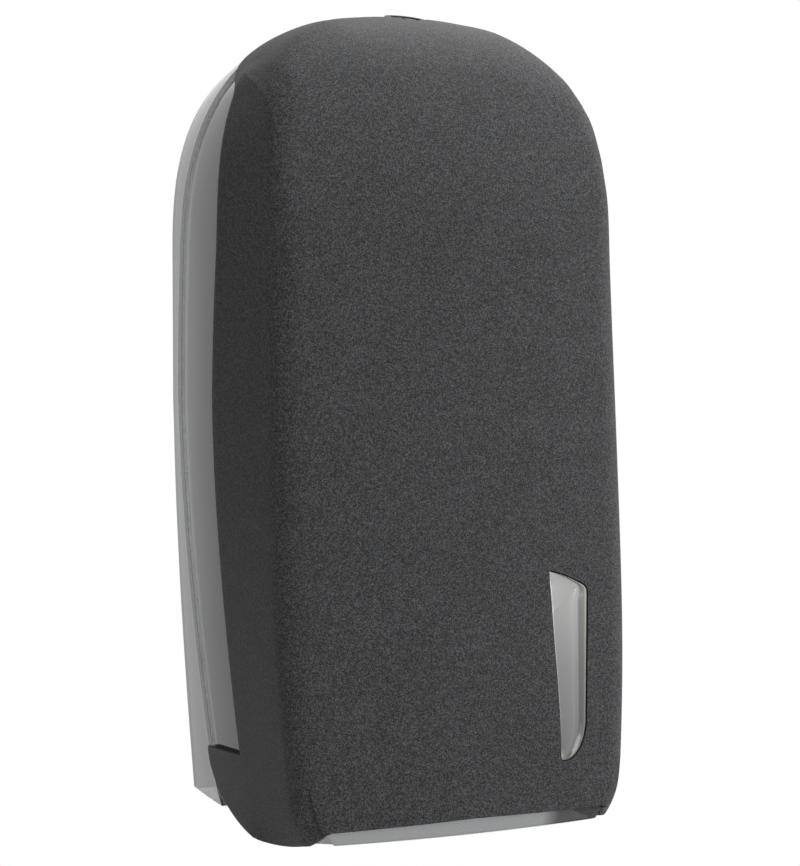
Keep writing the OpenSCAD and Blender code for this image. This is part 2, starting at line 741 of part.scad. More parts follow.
module cover_clip_left() {
    cover_clip(-1);
}

module cover_clip_right() {
    cover_clip(1);
}

module cover_screws() {
    color(steel)
    placed()
    for (p = cover_screw_at)
        translate([p[0], -front_d(p[0], p[1], inner_off + 0.7), p[1]]) rotate([90, 0, 0]) {
            translate([0, 0, -1.6]) cylinder(r = 2.7, h = 1.6, $fn = 40);
            translate([0, 0, -0.2]) cylinder(r = 1.4, h = inner_off - cover_t + 1.5, $fn = 32);
        }
}

module hinge_bush(side) {
    color(black)
    placed()
    mirrored(side)
    translate([0, -hinge_d, hinge_z]) rotate([0, 90, 0])
    difference() {
        union() {
            translate([0, 0, bush_x - bush_head]) cylinder(r = hinge_r + 4, h = bush_head, $fn = 48);
            translate([0, 0, bush_x - 0.5]) cylinder(r = hinge_r + 2, h = shell_t + 0.6, $fn = 48);
        }
        translate([0, 0, bush_x - 3]) cylinder(r = hinge_r + hinge_gap, h = 12, $fn = 64);
    }
}

module hinge_bush_left() {
    hinge_bush(-1);
}

module hinge_bush_right() {
    hinge_bush(1);
}

module lock_collar() {
    color(steel)
    placed()
    at_lock()
    difference() {
        union() {
            translate([0, 0, -12]) cylinder(r = lock_r - 0.6, h = 11.6, $fn = 64);
            translate([0, 0, -4]) cylinder(r = lock_r, h = 3.6, $fn = 64);
        }
        translate([0, 0, -20]) cylinder(r = barrel_r + lock_gap, h = 30, $fn = 96);
        translate([0, 0, -1]) cylinder(r = barrel_r + 0.7, h = 3, $fn = 64);
    }
}

module collar_nut() {
    color(steel)
    placed()
    at_lock()
    translate([0, 0, -inner_off - nut_drop - nut_h])
    difference() {
        cylinder(r = lock_r + 2.6, h = nut_h, $fn = 6);
        translate([0, 0, -1]) cylinder(r = lock_r - 0.4, h = 5, $fn = 64);
    }
}

module lock_barrel() {
    color(black)
    placed()
    at_lock()
    difference() {
        union() {
            translate([0, 0, 0.2 - cam_low]) cylinder(r = barrel_r, h = cam_low - 1.6, $fn = 96);
            translate([0, 0, -1.6]) cylinder(r = barrel_r - 0.2, h = 0.8, $fn = 64);
            translate([-2.5, -2.5, -cam_low - 2]) cube([5, 5, 3]);
        }
        // key slot
        translate([-0.8, -3, -7]) cube([1.6, 6, 10]);
        // thread for the cam screw
        translate([0, 0, -cam_low - 3]) cylinder(r = 1.5, h = 6, $fn = 32);
    }
}

module lock_cam() {
    color(steel)
    placed()
    at_lock()
    translate([0, 0, -cam_low - 2.1])
    difference() {
        union() {
            cylinder(r = cam_w / 2 + 1.5, h = 2.1, $fn = 48);
            translate([-cam_w / 2, 0, 0]) cube([cam_w, cam_l - cam_w / 2, 2.1]);
            translate([0, cam_l - cam_w / 2, 0]) cylinder(r = cam_w / 2, h = 2.1, $fn = 48);
        }
        translate([-2.7, -2.7, -1]) cube([5.4, 5.4, 5]);
    }
}

module cam_washer() {
    color(steel)
    placed()
    at_lock()
    translate([0, 0, -cam_low - 3.1])
    difference() {
        cylinder(r = 4.6, h = 0.8, $fn = 48);
        translate([0, 0, -1]) cylinder(r = 1.7, h = 3, $fn = 32);
    }
}

module cam_screw() {
    color(steel)
    placed()
    at_lock() {
        translate([0, 0, -cam_low - 5.2]) cylinder(r = 3, h = 1.9, $fn = 40);
        translate([0, 0, -cam_low - 4]) cylinder(r = 1.35, h = 6.4, $fn = 32);
    }
}

back_frame();
throat_plate();
throat_screws();
tissue_guide_left();
tissue_guide_right();
guide_screws();
lock_keeper();
keeper_rivets();
hinge_pin_left();
hinge_pin_right();
door_shell();
front_cover();
level_window();
cover_clip_left();
cover_clip_right();
cover_screws();
hinge_bush_left();
hinge_bush_right();
lock_collar();
collar_nut();
lock_barrel();
lock_cam();
cam_washer();
cam_screw();
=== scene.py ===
# %% [markdown]
# # A wall dispenser for folded toilet tissue
# The object is a tall arched case. A smoke clear frame stays on the wall. A door of
# the same clear plastic closes over it, and the door wears a dark grained cover with
# a small level window. This first cell loads the imported construction model, which
# gives every moving piece its place.

# %% Load the frame
import math
import bmesh
import bpy
import numpy as np
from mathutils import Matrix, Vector


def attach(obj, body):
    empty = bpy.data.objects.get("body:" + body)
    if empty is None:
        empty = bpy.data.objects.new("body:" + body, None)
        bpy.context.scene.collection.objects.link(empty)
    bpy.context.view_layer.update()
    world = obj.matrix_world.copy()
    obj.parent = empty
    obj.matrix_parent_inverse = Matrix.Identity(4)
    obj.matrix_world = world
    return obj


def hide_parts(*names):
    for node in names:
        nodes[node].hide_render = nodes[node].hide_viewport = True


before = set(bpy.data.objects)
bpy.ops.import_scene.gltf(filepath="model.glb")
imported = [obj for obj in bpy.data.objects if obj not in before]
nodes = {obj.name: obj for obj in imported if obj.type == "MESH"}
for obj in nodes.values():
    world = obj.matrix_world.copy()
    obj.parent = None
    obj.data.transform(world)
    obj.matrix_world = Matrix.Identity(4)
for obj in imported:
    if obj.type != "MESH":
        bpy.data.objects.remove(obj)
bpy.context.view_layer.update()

# %% [markdown]
# ## The measures of the case
# A moulded case like this is drawn from a few curves: how wide it is at each height,
# how deep the side runs before it turns to the front, and how far the front bulges.
# They could be sculpted by eye, but written as formulas they give the same case as
# the construction model, so every new surface lies where the hinge and the lock
# expect it. All values are millimetres, with height measured from the chin.

# %% Measures
# The case: overall sizes, where it is widest, where its arch starts and how square the arch is.
case_w, case_h, case_d, base_w = 156.0, 307.0, 122.0, 134.0
wide_z, taper_p, arch_z, arch_p = 162.0, 1.46, 215.0, 2.6
arch_r = case_h - arch_z
# The front: its lean, its bulge at half a width of 65, and the circle that rolls it back at the top.
front_lean, front_sag, sag_x, roll_z, roll_drop = 0.067, 5.9, 65.0, 218.0, 27.7
roll_h = case_h - roll_z
roll_r = (roll_h ** 2 + roll_drop ** 2) / 2 / roll_drop
# The side: depth of its edge at the foot, at mid height, at the arch and at the top; its taper
# towards the wall (rim_inset) and its bulge.
edge_low, edge_mid, edge_high, edge_top = 71.0, 60.5, 65.7, 42.0
rim_inset, rim_inset_low, side_bulge, mid_z = 3.8, 1.3, 1.1, 147.5
# The chin: its rear edge, the height of the ledge, and the foot of the front and of the shell.
chin_back, chin_top, ledge_rise, front_foot, shell_foot = 29.5, 27.4, 2.8, 11.5, 5.2
# The walls: cover, clear shell, the gap between them, frame and back plate.
cover_t, shell_t, skin_gap, frame_t, plate_t, frame_off = 2.0, 2.2, 0.35, 2.0, 3.0, 1.0
shell_off = cover_t + skin_gap
inner_off = shell_off + shell_t
# The seam's depth at mid height, at the ledge and at the top, and the hinge that the door turns about.
seam_mid, seam_low, seam_top, seam_gap = 10.0, 28.0, 36.0, 0.15
hinge_d, hinge_z, hinge_r = 72.0, 33.0, 3.0
swing_r = hinge_d - seam_low
# The wall screws; the height of their middle is the frame's zero.
screw_dx, screw_dz, screw_mid_z, screw_r = 80.0, 160.0, 158.0, 2.6
print("arch radius", arch_r, "shell lies", shell_off, "under the cover's outside")

# %% [markdown]
# ## Cuts through the case
# Below the arch a cut is level, and over it the cuts turn about the middle of the arch
# like the ribs of a fan. Every surface of the case is then a point at some fraction of
# a cut's reach and at some depth, which needs only a few short formulas.

# %% Curves of the case
def mix(a, b, t):
    """Straight blend from a to b."""
    return a + (b - a) * t


def unit(t):
    """t held between 0 and 1."""
    return np.clip(t, 0.0, 1.0)


def ease(t):
    """Smooth step from 0 to 1."""
    return unit(t) ** 2 * (3 - 2 * unit(t))


def half_width(z):
    """Half the widest width at height z: full above wide_z, tapering by a power below."""
    return case_w / 2 - (case_w - base_w) / 2 * (np.clip(wide_z - z, 0, None) / wide_z) ** taper_p


def level(z):
    """A level cut through the case: outline x, outline z, height of its middle, angle 0."""
    return half_width(z), z, z, np.zeros_like(z)


def fan(angle):
    """A cut that turns about the arch's middle; the outline is a superellipse of power arch_p."""
    x = case_w / 2 * np.clip(np.cos(angle), 0, None) ** (2 / arch_p)
    return x, arch_z + arch_r * np.sin(angle) ** (2 / arch_p), np.full_like(angle, arch_z), angle


def reach(s):
    """Distance from the middle of a cut to its outline."""
    return np.hypot(s[0], s[1] - s[2])


def edge_depth(s):
    """Depth of the side edge: two parabolas below the arch, a power curve over it."""
    t = np.clip((s[1] - arch_z) / arch_r, 0, None)
    up = 2 * (edge_high - edge_mid) / (arch_z - mid_z) * arch_r
    arch = edge_high + up * t + (edge_top - edge_high - up) * t ** 1.7
    low = (edge_mid + (edge_low - edge_mid) * (np.clip(mid_z - s[1], 0, None) / mid_z) ** 2
           + (edge_high - edge_mid) * (np.clip(s[1] - mid_z, 0, None) / (arch_z - mid_z)) ** 2)
    return np.where(s[3] > 0, arch, low)


def side_inset(s, d):
    """How far the side lies inside the outline at depth d: a taper to the wall less a bulge."""
    t = unit(d / edge_depth(s))
    rim = np.where(s[3] > 0, rim_inset, mix(rim_inset_low, rim_inset, unit(s[1] / mid_z)))
    return rim * (1 - t) - side_bulge * 4 * t * (1 - t)


def place(s, f, d):
    """Point of a cut at fraction f of its reach and depth d."""
    return np.stack(np.broadcast_arrays(s[0] * f, -d, s[2] + (s[1] - s[2]) * f), axis=-1)


def side_point(s, d, off):
    """Point of the side at depth d, off millimetres under the outside."""
    return place(s, 1 - (side_inset(s, d) + off) / reach(s), d)


def front_depth(x, z, off):
    """Depth of the front: it leans, bulges as a parabola and rolls back on a circle at the top."""
    bend = np.clip(z - roll_z, 0, 0.98 * roll_r)
    slope = np.sqrt(roll_r ** 2 - bend ** 2)
    return case_d - front_lean * z - front_sag * (x / sag_x) ** 2 - (roll_r - slope) - off * roll_r / slope


def front_point(s, f, off):
    """Point of the front at fraction f of a cut's reach."""
    return place(s, f, front_depth(s[0] * f, s[2] + (s[1] - s[2]) * f, off))


print("half width at the foot", half_width(np.array(0.0)), "front rolls back on", round(roll_r, 1))

# %% [markdown]
# ## The crease between front and side
# Front and side meet in a crease with a flat facet beside it. The crease is a line as
# far as the arch leaves room for one, and then follows the arch. On the arch the facet
# ends in a slightly raised, rounded tip; under the ledge the crease opens into a flat
# dart that is pressed in a little, as one presses a fold into a paper bag. All three
# swell and fade with the angle or the height, so that no step shows between cuts.

# %% Crease, dart and tip
# Half widths of the crease at the foot and at the arch, and its share of the reach on the arch:
# the most it takes, what the upper arch adds and the lower arch takes off, and how sharply the
# line turns into the limit. Under the outside it moves in by crease_in times the depth.
crease_low, crease_high = 71.6, 67.4
crease_most, crease_fuller, crease_drawn, crease_turn_p, crease_in = 0.96, 0.02, 0.021, 45, 1.1
tip_low, tip_high = 0.5, 1.9
# The tip's ridge wanders over the columns (1 to 2 is the facet, 2 to 3 the crease) as the cuts turn.
ridge_turn = [10, 24, 30, 35, 40, 48, 60]
ridge_column = [2.0, 2.45, 2.3, 1.85, 1.15, 1.15, 2.0]
# Where the dart starts and ends on the crease's curve: evenly spread away from the chin, then
# from the ledge (top) to the foot; near_h is the height over which the columns gather.
dart_even, dart_start, dart_end, near_h = (1 / 3, 2 / 3), (0.62, 0.06), (0.74, 0.88), 18.0


def swell(turn, start, rise, stop, fall):
    """0 before start degrees, 1 after rise more, and from stop on back to 0 over fall degrees."""
    return ease((turn - start) / rise) * (1 - ease((turn - stop) / fall))


def below_ledge(s):
    """0 at the ledge and above, 1 at the foot."""
    return np.where(s[3] > 0, 0.0, unit(1 - s[1] / chin_top))


def crease_at(s, off):
    """Where the crease lies, as a fraction of the reach: a smooth smaller of a line and a limit."""
    line = mix(crease_low, crease_high, unit(s[1] / arch_z)) / np.maximum(s[0], 0.01)
    turn = np.degrees(s[3])
    most = crease_most + crease_fuller * swell(turn, 34, 12, 68, 13)
    drawn_in = crease_drawn * swell(turn, 6, 20, 34, 12)
    smaller = most * (1 + (most / line) ** crease_turn_p) ** (-1 / crease_turn_p)
    return smaller - drawn_in - crease_in * off / reach(s)


def dart(s, v):
    """Where on the crease's curve a column lies, and how much it lies on the chord of the dart:
    the chord opens downwards from a tip at the ledge."""
    t = unit(v - 2)
    low = below_ledge(s)
    near = np.where(s[3] > 0, 0.0, ease((chin_top + near_h - s[1]) / near_h))
    left = mix(dart_even[0], mix(*dart_start, low), near)
    right = mix(dart_even[1], mix(*dart_end, low), near)
    before, after = t < 1 / 3, t > 2 / 3
    place_on = np.where(before, 3 * t * left,
                        np.where(after, 1 - 3 * (1 - t) * (1 - right), mix(left, right, 3 * t - 1)))
    return place_on, left, right, np.where((t > 1 / 3) & (t < 2 / 3) & (low > 0), 1.0, 0.0)


def tip(s, v):
    """The facet ends in a raised rounded tip on the arch: columns moved so that one follows its
    ridge, and how far each point stands out. The tip is narrow first and then wide."""
    turn = np.degrees(s[3])
    ridge = np.interp(turn, ridge_turn, ridge_column)
    moved = np.where((v > 1) & (v <= 2), mix(1.0, ridge, v - 1), v)
    moved = np.where((v > 2) & (v < 3), mix(ridge, 3.0, v - 2), moved)
    wide = ease((turn - 29) / 8)
    rise = (tip_low * ease((turn - 14) / 8) + (tip_high - tip_low) * wide) * (1 - ease((turn - 38) / 9))
    over_columns = np.interp(v, [0, 1, 2, 2.7], [0.0, 0.5, 1.0, 0.0])
    return moved, rise * over_columns ** (3 - 2 * wide)


middle_cut = level(np.array(mid_z))
print("the crease lies at", round(float(crease_at(middle_cut, 0.0)), 3), "of the reach at mid height")

# %% [markdown]
# ## One section for every wall
# Cover and shell share their section and differ only in how far they lie under the
# outside. It has four stretches: side, facet, crease and front. The crease is a
# quadratic Bezier curve, which takes its two ends and the corner where the faces would
# meet, and so can be crisp or soft by one number, the distance from corner to ends.

# %% Section
# The crease's rounding: at the foot, what the arch adds, what the crisp stretch low on the arch
# takes off, and the least; at the foot it may be longer along the facet by round_chin. It takes
# at most facet_share of the facet.
crease_round, round_arch, round_crisp, round_least, round_chin = 8.9, 12.8, 4.0, 2.5, 0.6
facet_share = 0.45
# At the foot the crease moves in by chin_toe; the dart is pressed in by dart_deep, and the last
# part of its chord, past dart_edge, stays where it is.
chin_toe, dart_deep, dart_edge = 9.0, 2.6, 0.95


def bezier(start, corner, end, t):
    """Point at t of the quadratic curve that leaves start and reaches end, both towards corner."""
    t = t[..., None]
    return start * (1 - t) ** 2 + corner * 2 * t * (1 - t) + end * t ** 2


def facet_out(s, slope):
    """Unit vector that stands out of the facet, from the facet's slope in the plane of the cut."""
    radial = np.stack(np.broadcast_arrays(s[0], 0.0, s[1] - s[2]), axis=-1) / reach(s)[..., None]
    wall_way = np.sum(slope * radial, axis=-1, keepdims=True) * np.array([0.0, 1.0, 0.0])
    out = -slope[..., 1:2] * radial + wall_way
    return out / np.linalg.norm(out, axis=-1, keepdims=True)


def section(s, off, back, v):
    """Half a section from the rear edge to the middle; v runs 0 to 1 along the side, to 2
    along the facet, to 3 round the crease (with the dart's chord) and to 4 along the front."""
    edge = edge_depth(s)
    v, rise = tip(s, v)
    at_edge = side_point(s, edge, off)
    low = below_ledge(s)
    crease = crease_at(s, off) - chin_toe * low ** 3 / reach(s)
    corner = front_point(s, crease, off)
    crisp = swell(np.degrees(s[3]), 0, 16, 34, 20)
    soft = np.maximum(round_least, crease_round + round_arch * np.sin(s[3]) ** 2 - round_crisp * crisp - off)
    run = np.linalg.norm(at_edge - corner, axis=-1)
    start_share = np.minimum(facet_share, soft * (1 + round_chin * low) / run)
    start = mix(corner, at_edge, start_share[..., None])
    end_f = crease - soft / reach(s)
    end = front_point(s, end_f, off)
    t, left, right, flat = dart(s, v)
    along = (t - left) / (right - left)
    first, last = bezier(start, corner, end, left), bezier(start, corner, end, right)
    line = last - first
    inward = np.stack([line[..., 1], -line[..., 0], 0 * line[..., 0]], axis=-1)
    inward = inward / np.linalg.norm(line, axis=-1, keepdims=True)
    pressed = dart_deep * low ** 0.7 * unit(along) * (along < dart_edge)
    chord = mix(first, last, along[..., None]) + pressed[..., None] * inward
    parts = [side_point(s, mix(back, edge, unit(v)), off),
             mix(at_edge, start, unit(v - 1)[..., None]),
             mix(bezier(start, corner, end, t), chord, flat[..., None]),
             front_point(s, end_f * unit(4 - v), off)]
    surface = np.select([(v <= k + 1)[..., None] for k in range(4)], parts)
    return surface + rise[..., None] * facet_out(s, corner - at_edge)


half_section = section(middle_cut, 0.0, 0.0, np.linspace(0, 4, 81))
along_it = np.linalg.norm(np.diff(half_section, axis=0), axis=1).sum()
print("half a section at mid height is", round(along_it), "mm long")

# %% [markdown]
# ## The seam between door and frame
# Door and frame meet at a seam near the wall. It is shallow in the middle and deeper
# towards both ends. Under the ledge it has to be an arc about the hinge, because there
# the door slides past the frame as it swings.

# %% Seam
def seam_base(z):
    """Depth of the seam between frame and door, above the ledge of the chin."""
    low = seam_mid + (seam_low - seam_mid) * (np.clip(wide_z - z, 0, None) / (wide_z - chin_top)) ** 1.5
    return low + (seam_top - seam_mid) * (np.clip(z - wide_z, 0, None) / (case_h - wide_z)) ** 2


def seam_depth(s):
    """The seam; under the ledge it is an arc about the hinge."""
    arc = hinge_d - np.sqrt(np.clip(swing_r ** 2 - (s[1] - hinge_z) ** 2, 0, None))
    return np.where((s[3] == 0) & (s[1] < chin_top), arc, seam_base(s[1]))


print("the seam lies", seam_base(np.array(wide_z)), "from the wall at the widest height")

# %% [markdown]
# ## From a sheet of points to a moulded wall
# A moulded wall is two sheets a wall's thickness apart, joined round the rim. Blender's
# Solidify could give the thickness, but computing both sheets keeps the inside exact
# too, and the rim can get the small chamfer that catches light on a real part. The
# points stand in a grid of rows up the case and columns round it, close together where
# the shape turns quickly.

# %% Rows and columns of the grid
edge_crowd = 1.6


def row_list(counts=(18, 8, 64, 66)):
    """Rows of the grid: fractions of the height under the ledge, heights from the ledge to the
    arch, and angles of the fan over it."""
    foot = np.linspace(0, 1, counts[0], endpoint=False)
    ledge = np.linspace(chin_top, chin_top + ledge_rise, counts[1], endpoint=False)
    wall = np.linspace(chin_top + ledge_rise, arch_z, counts[2])
    turn = np.radians(90) * np.linspace(0, 1, counts[3] + 1)[1:]
    return foot, np.concatenate([ledge, wall]), turn


def column_list(counts=(12, 10, 18, 20)):
    """Half the columns of the grid, from the rear edge (0) to the middle (4). The first stretch
    is a power of even steps, which crowds its columns to the rear edge."""
    steps = [k + (np.arange(n) / n) ** (edge_crowd if k == 0 else 1.0) for k, n in enumerate(counts)]
    return np.concatenate(steps + [[4.0]])


def both_sides(half):
    """A half grid and its mirror image, joined at the middle column."""
    left = half * np.array([-1.0, 1.0, 1.0])
    return np.concatenate([left, half[:, -2::-1]], axis=1)


foot_t, rise_z, turn_a = row_list()
columns = column_list()
first_fan = len(foot_t) + len(rise_z)
print("rows", first_fan + len(turn_a), "columns", 2 * len(columns) - 1)

# %% Closed walls
def grid_ids(rows, cols, first_fan):
    """Vertex numbers of the grid: the middle is one point in the fan, and the top row is folded."""
    i, j = np.meshgrid(np.arange(rows), np.arange(cols), indexing="ij")
    ids = i * cols + j
    ids = np.where((i == rows - 1) & (j > cols // 2), i * cols + cols - 1 - j, ids)
    return np.where((j == cols // 2) & (i >= first_fan), (first_fan - 1) * cols + cols // 2, ids)


def closed_wall(outer, inner, first_fan, soft=0.35, marked=None):
    """Joins two sheets of points to one closed wall with a chamfer of soft round its rim.
    Returns the points, a list of faces and a mark for each point: 1 on a moulded edge, which
    is the rim and whatever points of the sheets are marked. The mark places a painted highlight."""
    rows, cols = outer.shape[:2]
    border_out, border_in = outer.copy(), inner.copy()
    rims = ((np.s_[0, :], np.s_[1, :]), (np.s_[:, 0], np.s_[:, 1]), (np.s_[:, -1], np.s_[:, -2]))
    for sheet in (outer, inner):
        keep = sheet.copy()
        for edge, inside in rims:
            way = keep[inside] - keep[edge]
            length = np.maximum(np.linalg.norm(way, axis=-1, keepdims=True), 1e-6)
            sheet[edge] += way * np.minimum(soft / length, 0.4)
    ids = grid_ids(rows, cols, first_fan)
    n = rows * cols
    quads = np.stack([ids[:-1, :-1], ids[1:, :-1], ids[1:, 1:], ids[:-1, 1:]], axis=-1).reshape(-1, 4)
    ring = [(0, j) for j in range(cols)] + [(i, cols - 1) for i in range(1, rows)]
    ring += [(i, 0) for i in range(rows - 2, 0, -1)]
    ri, rj = np.array(ring).T
    near, far = border_out[ri, rj], border_in[ri, rj]
    share = min(0.45, soft / np.linalg.norm(far - near, axis=-1).mean())
    step = np.arange(len(ring))
    lines = [ids[ri, rj], 2 * n + step, 2 * n + len(ring) + step, ids[ri, rj] + n]
    rim = [np.stack([a, b, np.roll(b, -1), np.roll(a, -1)], axis=-1) for a, b in zip(lines[1:], lines[:-1])]
    points = np.concatenate([outer.reshape(-1, 3), inner.reshape(-1, 3),
                             mix(near, far, share), mix(near, far, 1 - share)])
    faces = [list(dict.fromkeys(f)) for f in np.concatenate([quads, quads[:, ::-1] + n, *rim]).tolist()]
    sheet_highlight_mark = np.broadcast_to(0.0 if marked is None else marked, (rows, cols)).reshape(-1)
    marks = np.concatenate([sheet_highlight_mark, sheet_highlight_mark, np.ones(len(points) - 2 * n)])
    return points, [f for f in faces if len(f) > 2], marks


def make_piece(name, wall, body, replaced=(), sharp=14.0):
    """Puts a wall's points (design millimetres), faces and edge marks (where a painted highlight goes)
    into a mesh at the origin, which rides on body."""
    points, faces, marks = wall
    mesh = bpy.data.meshes.new(name)
    mesh.from_pydata((np.asarray(points) - [0, 0, screw_mid_z]) * 0.001, [], faces)
    # The attribute edge holds the marks of the painted highlight that the clear materials read.
    mesh.attributes.new("edge", "FLOAT", "POINT").data.foreach_set("value", marks)
    obj = bpy.data.objects.new(name, mesh)
    bpy.context.scene.collection.objects.link(obj)
    tidy_mesh(mesh, sharp)
    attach(obj, body)
    if replaced:
        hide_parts(*replaced)
    print(name, len(mesh.vertices), "points", len(mesh.polygons), "faces")
    return obj


def tidy_mesh(mesh, sharp):
    """Drops unused points, turns all faces outwards and shades smooth up to the angle sharp."""
    work = bmesh.new()
    work.from_mesh(mesh)
    bmesh.ops.delete(work, geom=[v for v in work.verts if not v.link_faces], context="VERTS")
    bmesh.ops.remove_doubles(work, verts=work.verts, dist=1e-6)
    bmesh.ops.recalc_face_normals(work, faces=work.faces)
    work.to_mesh(mesh)
    work.free()
    mesh.shade_smooth()
    mesh.set_sharp_from_angle(angle=math.radians(sharp))


print("a wall's rim gets a chamfer and the mark 1 in the attribute edge")

# %% [markdown]
# ## Tools that cut and add
# Bushes, screws and the lock sit in round holes, and the frame has flat ears. The tools
# for these are simple closed solids: a profile spun about an axis, an outline moved
# along a line, and a box. A Boolean modifier takes them away or adds them, and its
# result is kept as the piece's own mesh, so that nothing is left to compute later.

# %% Tools that cut and add
def lathe(profile, origin, axis, steps=48):
    """A profile of (along, radius) pairs spun about an axis: a closed solid of revolution."""
    axis = np.array(axis, float) / np.linalg.norm(axis)
    side = np.cross(axis, [0.0, 0.0, 1.0] if abs(axis[2]) < 0.9 else [1.0, 0.0, 0.0])
    side /= np.linalg.norm(side)
    turn = np.arange(steps) * 2 * np.pi / steps
    ring = np.cos(turn)[:, None] * side + np.sin(turn)[:, None] * np.cross(axis, side)
    along, radius = np.array(profile, float).T
    points = np.array(origin) + along[:, None, None] * axis + radius[:, None, None] * ring
    i, j = np.meshgrid(np.arange(len(along) - 1), np.arange(steps), indexing="ij")
    k = (j + 1) % steps
    quads = np.stack([i * steps + j, i * steps + k, (i + 1) * steps + k, (i + 1) * steps + j], axis=-1)
    last = (len(along) - 1) * steps
    caps = [list(range(steps))[::-1], list(range(last, last + steps))]
    return points.reshape(-1, 3), quads.reshape(-1, 4).tolist() + caps


def prism(outline, start, run):
    """A flat outline of points, moved from start along run: a closed block."""
    ring = np.asarray(outline, float) + np.asarray(start, float)
    n = len(ring)
    sides = [[i, (i + 1) % n, n + (i + 1) % n, n + i] for i in range(n)]
    return np.concatenate([ring, ring + run]), sides + [list(range(n))[::-1], list(range(n, 2 * n))]


def block(low, high):
    """A box between two corners."""
    (a, b, c), (d, e, f) = low, high
    return prism([[a, b, c], [d, b, c], [d, e, c], [a, e, c]], [0, 0, 0], [0, 0, f - c])


def joined(solids):
    """Several closed solids as one list of points and one of faces."""
    points, faces, start = [], [], 0
    for p, f in solids:
        points.append(np.asarray(p))
        faces += [[i + start for i in face] for face in f]
        start += len(p)
    return np.concatenate(points), faces


def carve(obj, solids, mode="DIFFERENCE", sharp=14.0):
    """Takes solids away from a piece (or adds them) and keeps the result as the piece's own mesh."""
    points, faces = joined(solids)
    mesh = bpy.data.meshes.new("tool")
    mesh.from_pydata((points - [0, 0, screw_mid_z]) * 0.001, [], faces)
    tool = bpy.data.objects.new("tool", mesh)
    bpy.context.scene.collection.objects.link(tool)
    tidy_mesh(mesh, 180)
    step = obj.modifiers.new("carve", "BOOLEAN")
    step.operation, step.solver, step.object = mode, "MANIFOLD", tool
    graph = bpy.context.evaluated_depsgraph_get()
    done = bpy.data.meshes.new_from_object(obj.evaluated_get(graph))
    obj.modifiers.remove(step)
    old, obj.data = obj.data, done
    bpy.data.objects.remove(tool)
    bpy.data.meshes.remove(mesh)
    bpy.data.meshes.remove(old)
    tidy_mesh(done, sharp)
    print(obj.name, mode.lower(), len(solids), "solids ->", len(done.polygons), "faces")


peg_points, peg_faces = lathe([(0, hinge_r), (10, hinge_r)], [0, 0, 0], [1, 0, 0])
print("a peg has", len(peg_points), "points and", len(peg_faces), "faces")

# %% [markdown]
# ## The clear door shell
# Under the dark cover the door is one clear moulding: it is what one sees at the
# flanks. A lofted surface fits it best, with one section of the case per row, because
# the sections change from a flat foot to a round arch and still keep their corners.
# A painted highlight runs along the moulded edges: the points near them are marked,
# and the material paints them pale and partly mirror.

# %% Door shell
foot_stand = 0.6


def loft(point, foot):
    """Half grids of a piece: foot(t) gives the rows under the ledge, point(station) the others."""
    rise, turn = level(rise_z[:, None]), fan(turn_a[:, None])
    return both_sides(np.concatenate([foot(foot_t[:, None]), point(rise), point(turn)]))


def shell_sheet(off):
    """One sheet of the shell, off under the outside; it stands off foot_stand more at the foot."""
    v = columns[None, :]

    def foot(t):
        """Rows from the shell's foot up to the ledge."""
        s = level(mix(shell_foot, chin_top, t))
        return section(s, off + foot_stand * (1 - t), seam_depth(s) + seam_gap, v)
    return loft(lambda s: section(s, off, seam_depth(s) + seam_gap, v), foot)


def round_case(left, right):
    """Values for the columns of both halves, from the left rear edge to the right one."""
    return np.concatenate([left, right[-2::-1]])[None, :]


def shell_highlight_marks():
    """Marks of the painted highlight on the shell's moulded edges: strong at the rear edge and gone
    within a quarter of the side; medium along the foot, but on the right half only close to the middle."""
    rear = np.interp(columns, [0.05, 0.1, 0.18, 0.24], [0.75, 0.4, 0.3, 0.0])
    foot = np.zeros((first_fan + len(turn_a), 1))
    foot[:len(foot_t), 0] = 0.45 * (foot_t < 0.3)
    fading = round_case(np.ones_like(columns), np.interp(columns, [3.15, 3.45], [0, 1]))
    return np.maximum(round_case(rear, rear), foot * fading)


shell_wall = closed_wall(shell_sheet(shell_off), shell_sheet(inner_off), first_fan, 0.35, shell_highlight_marks())
door_shell = make_piece("door_shell_wall", shell_wall, "door", ["door_shell"])

# %% [markdown]
# ## The dark cover
# The cover hugs the shell. It stops just before the side edge, runs back to the wall
# over the arch, and at the bottom its edge curls under the chin, where the crease opens
# into a flat facet like a dart. The same section does it all; only its rear edge and
# its foot are cut to other lines.

# %% Front cover
# The cover ends cover_back before the side edge, and runs back over the arch from back_turn on.
cover_back, back_turn, back_over = 1.0, 32.0, 22.0
# The chin's lower edge: where it is lowest, how it curls up behind and rises in front of that.
chin_low_d, chin_drop, chin_curl, chin_rise, chin_run = 76.0, 1.4, 0.8, 4.3, 31.0
# The toe, where the edge turns to the front, lies toe_back behind the case's depth; the edge
# behind it stays toe_step under it.
toe_back, toe_step = 15.0, 0.6


def cover_rear(s):
    """Depth of the cover's rear edge: deep at the chin, then the side edge, then back over the arch."""
    side = edge_depth(s) - cover_back
    low = mix(chin_back, side, unit((s[1] - chin_top) / ledge_rise))
    over = mix(side, seam_base(s[1]) + seam_gap, ease((np.degrees(s[3]) - back_turn) / back_over))
    return np.where(s[3] > 0, over, low)


def chin_height(d):
    """Height of the chin's lower edge: a rounded quarter behind chin_low_d, a parabola before it."""
    back = np.clip((chin_low_d - d) / (chin_low_d - chin_back), 0, 1)
    curl = (chin_top - chin_drop) * (1 - np.sqrt(1 - back ** 2)) ** chin_curl
    rising = np.minimum(front_foot - 1, chin_rise * ((d - chin_low_d) / chin_run) ** 2)
    return np.where(d < chin_low_d, curl, rising)


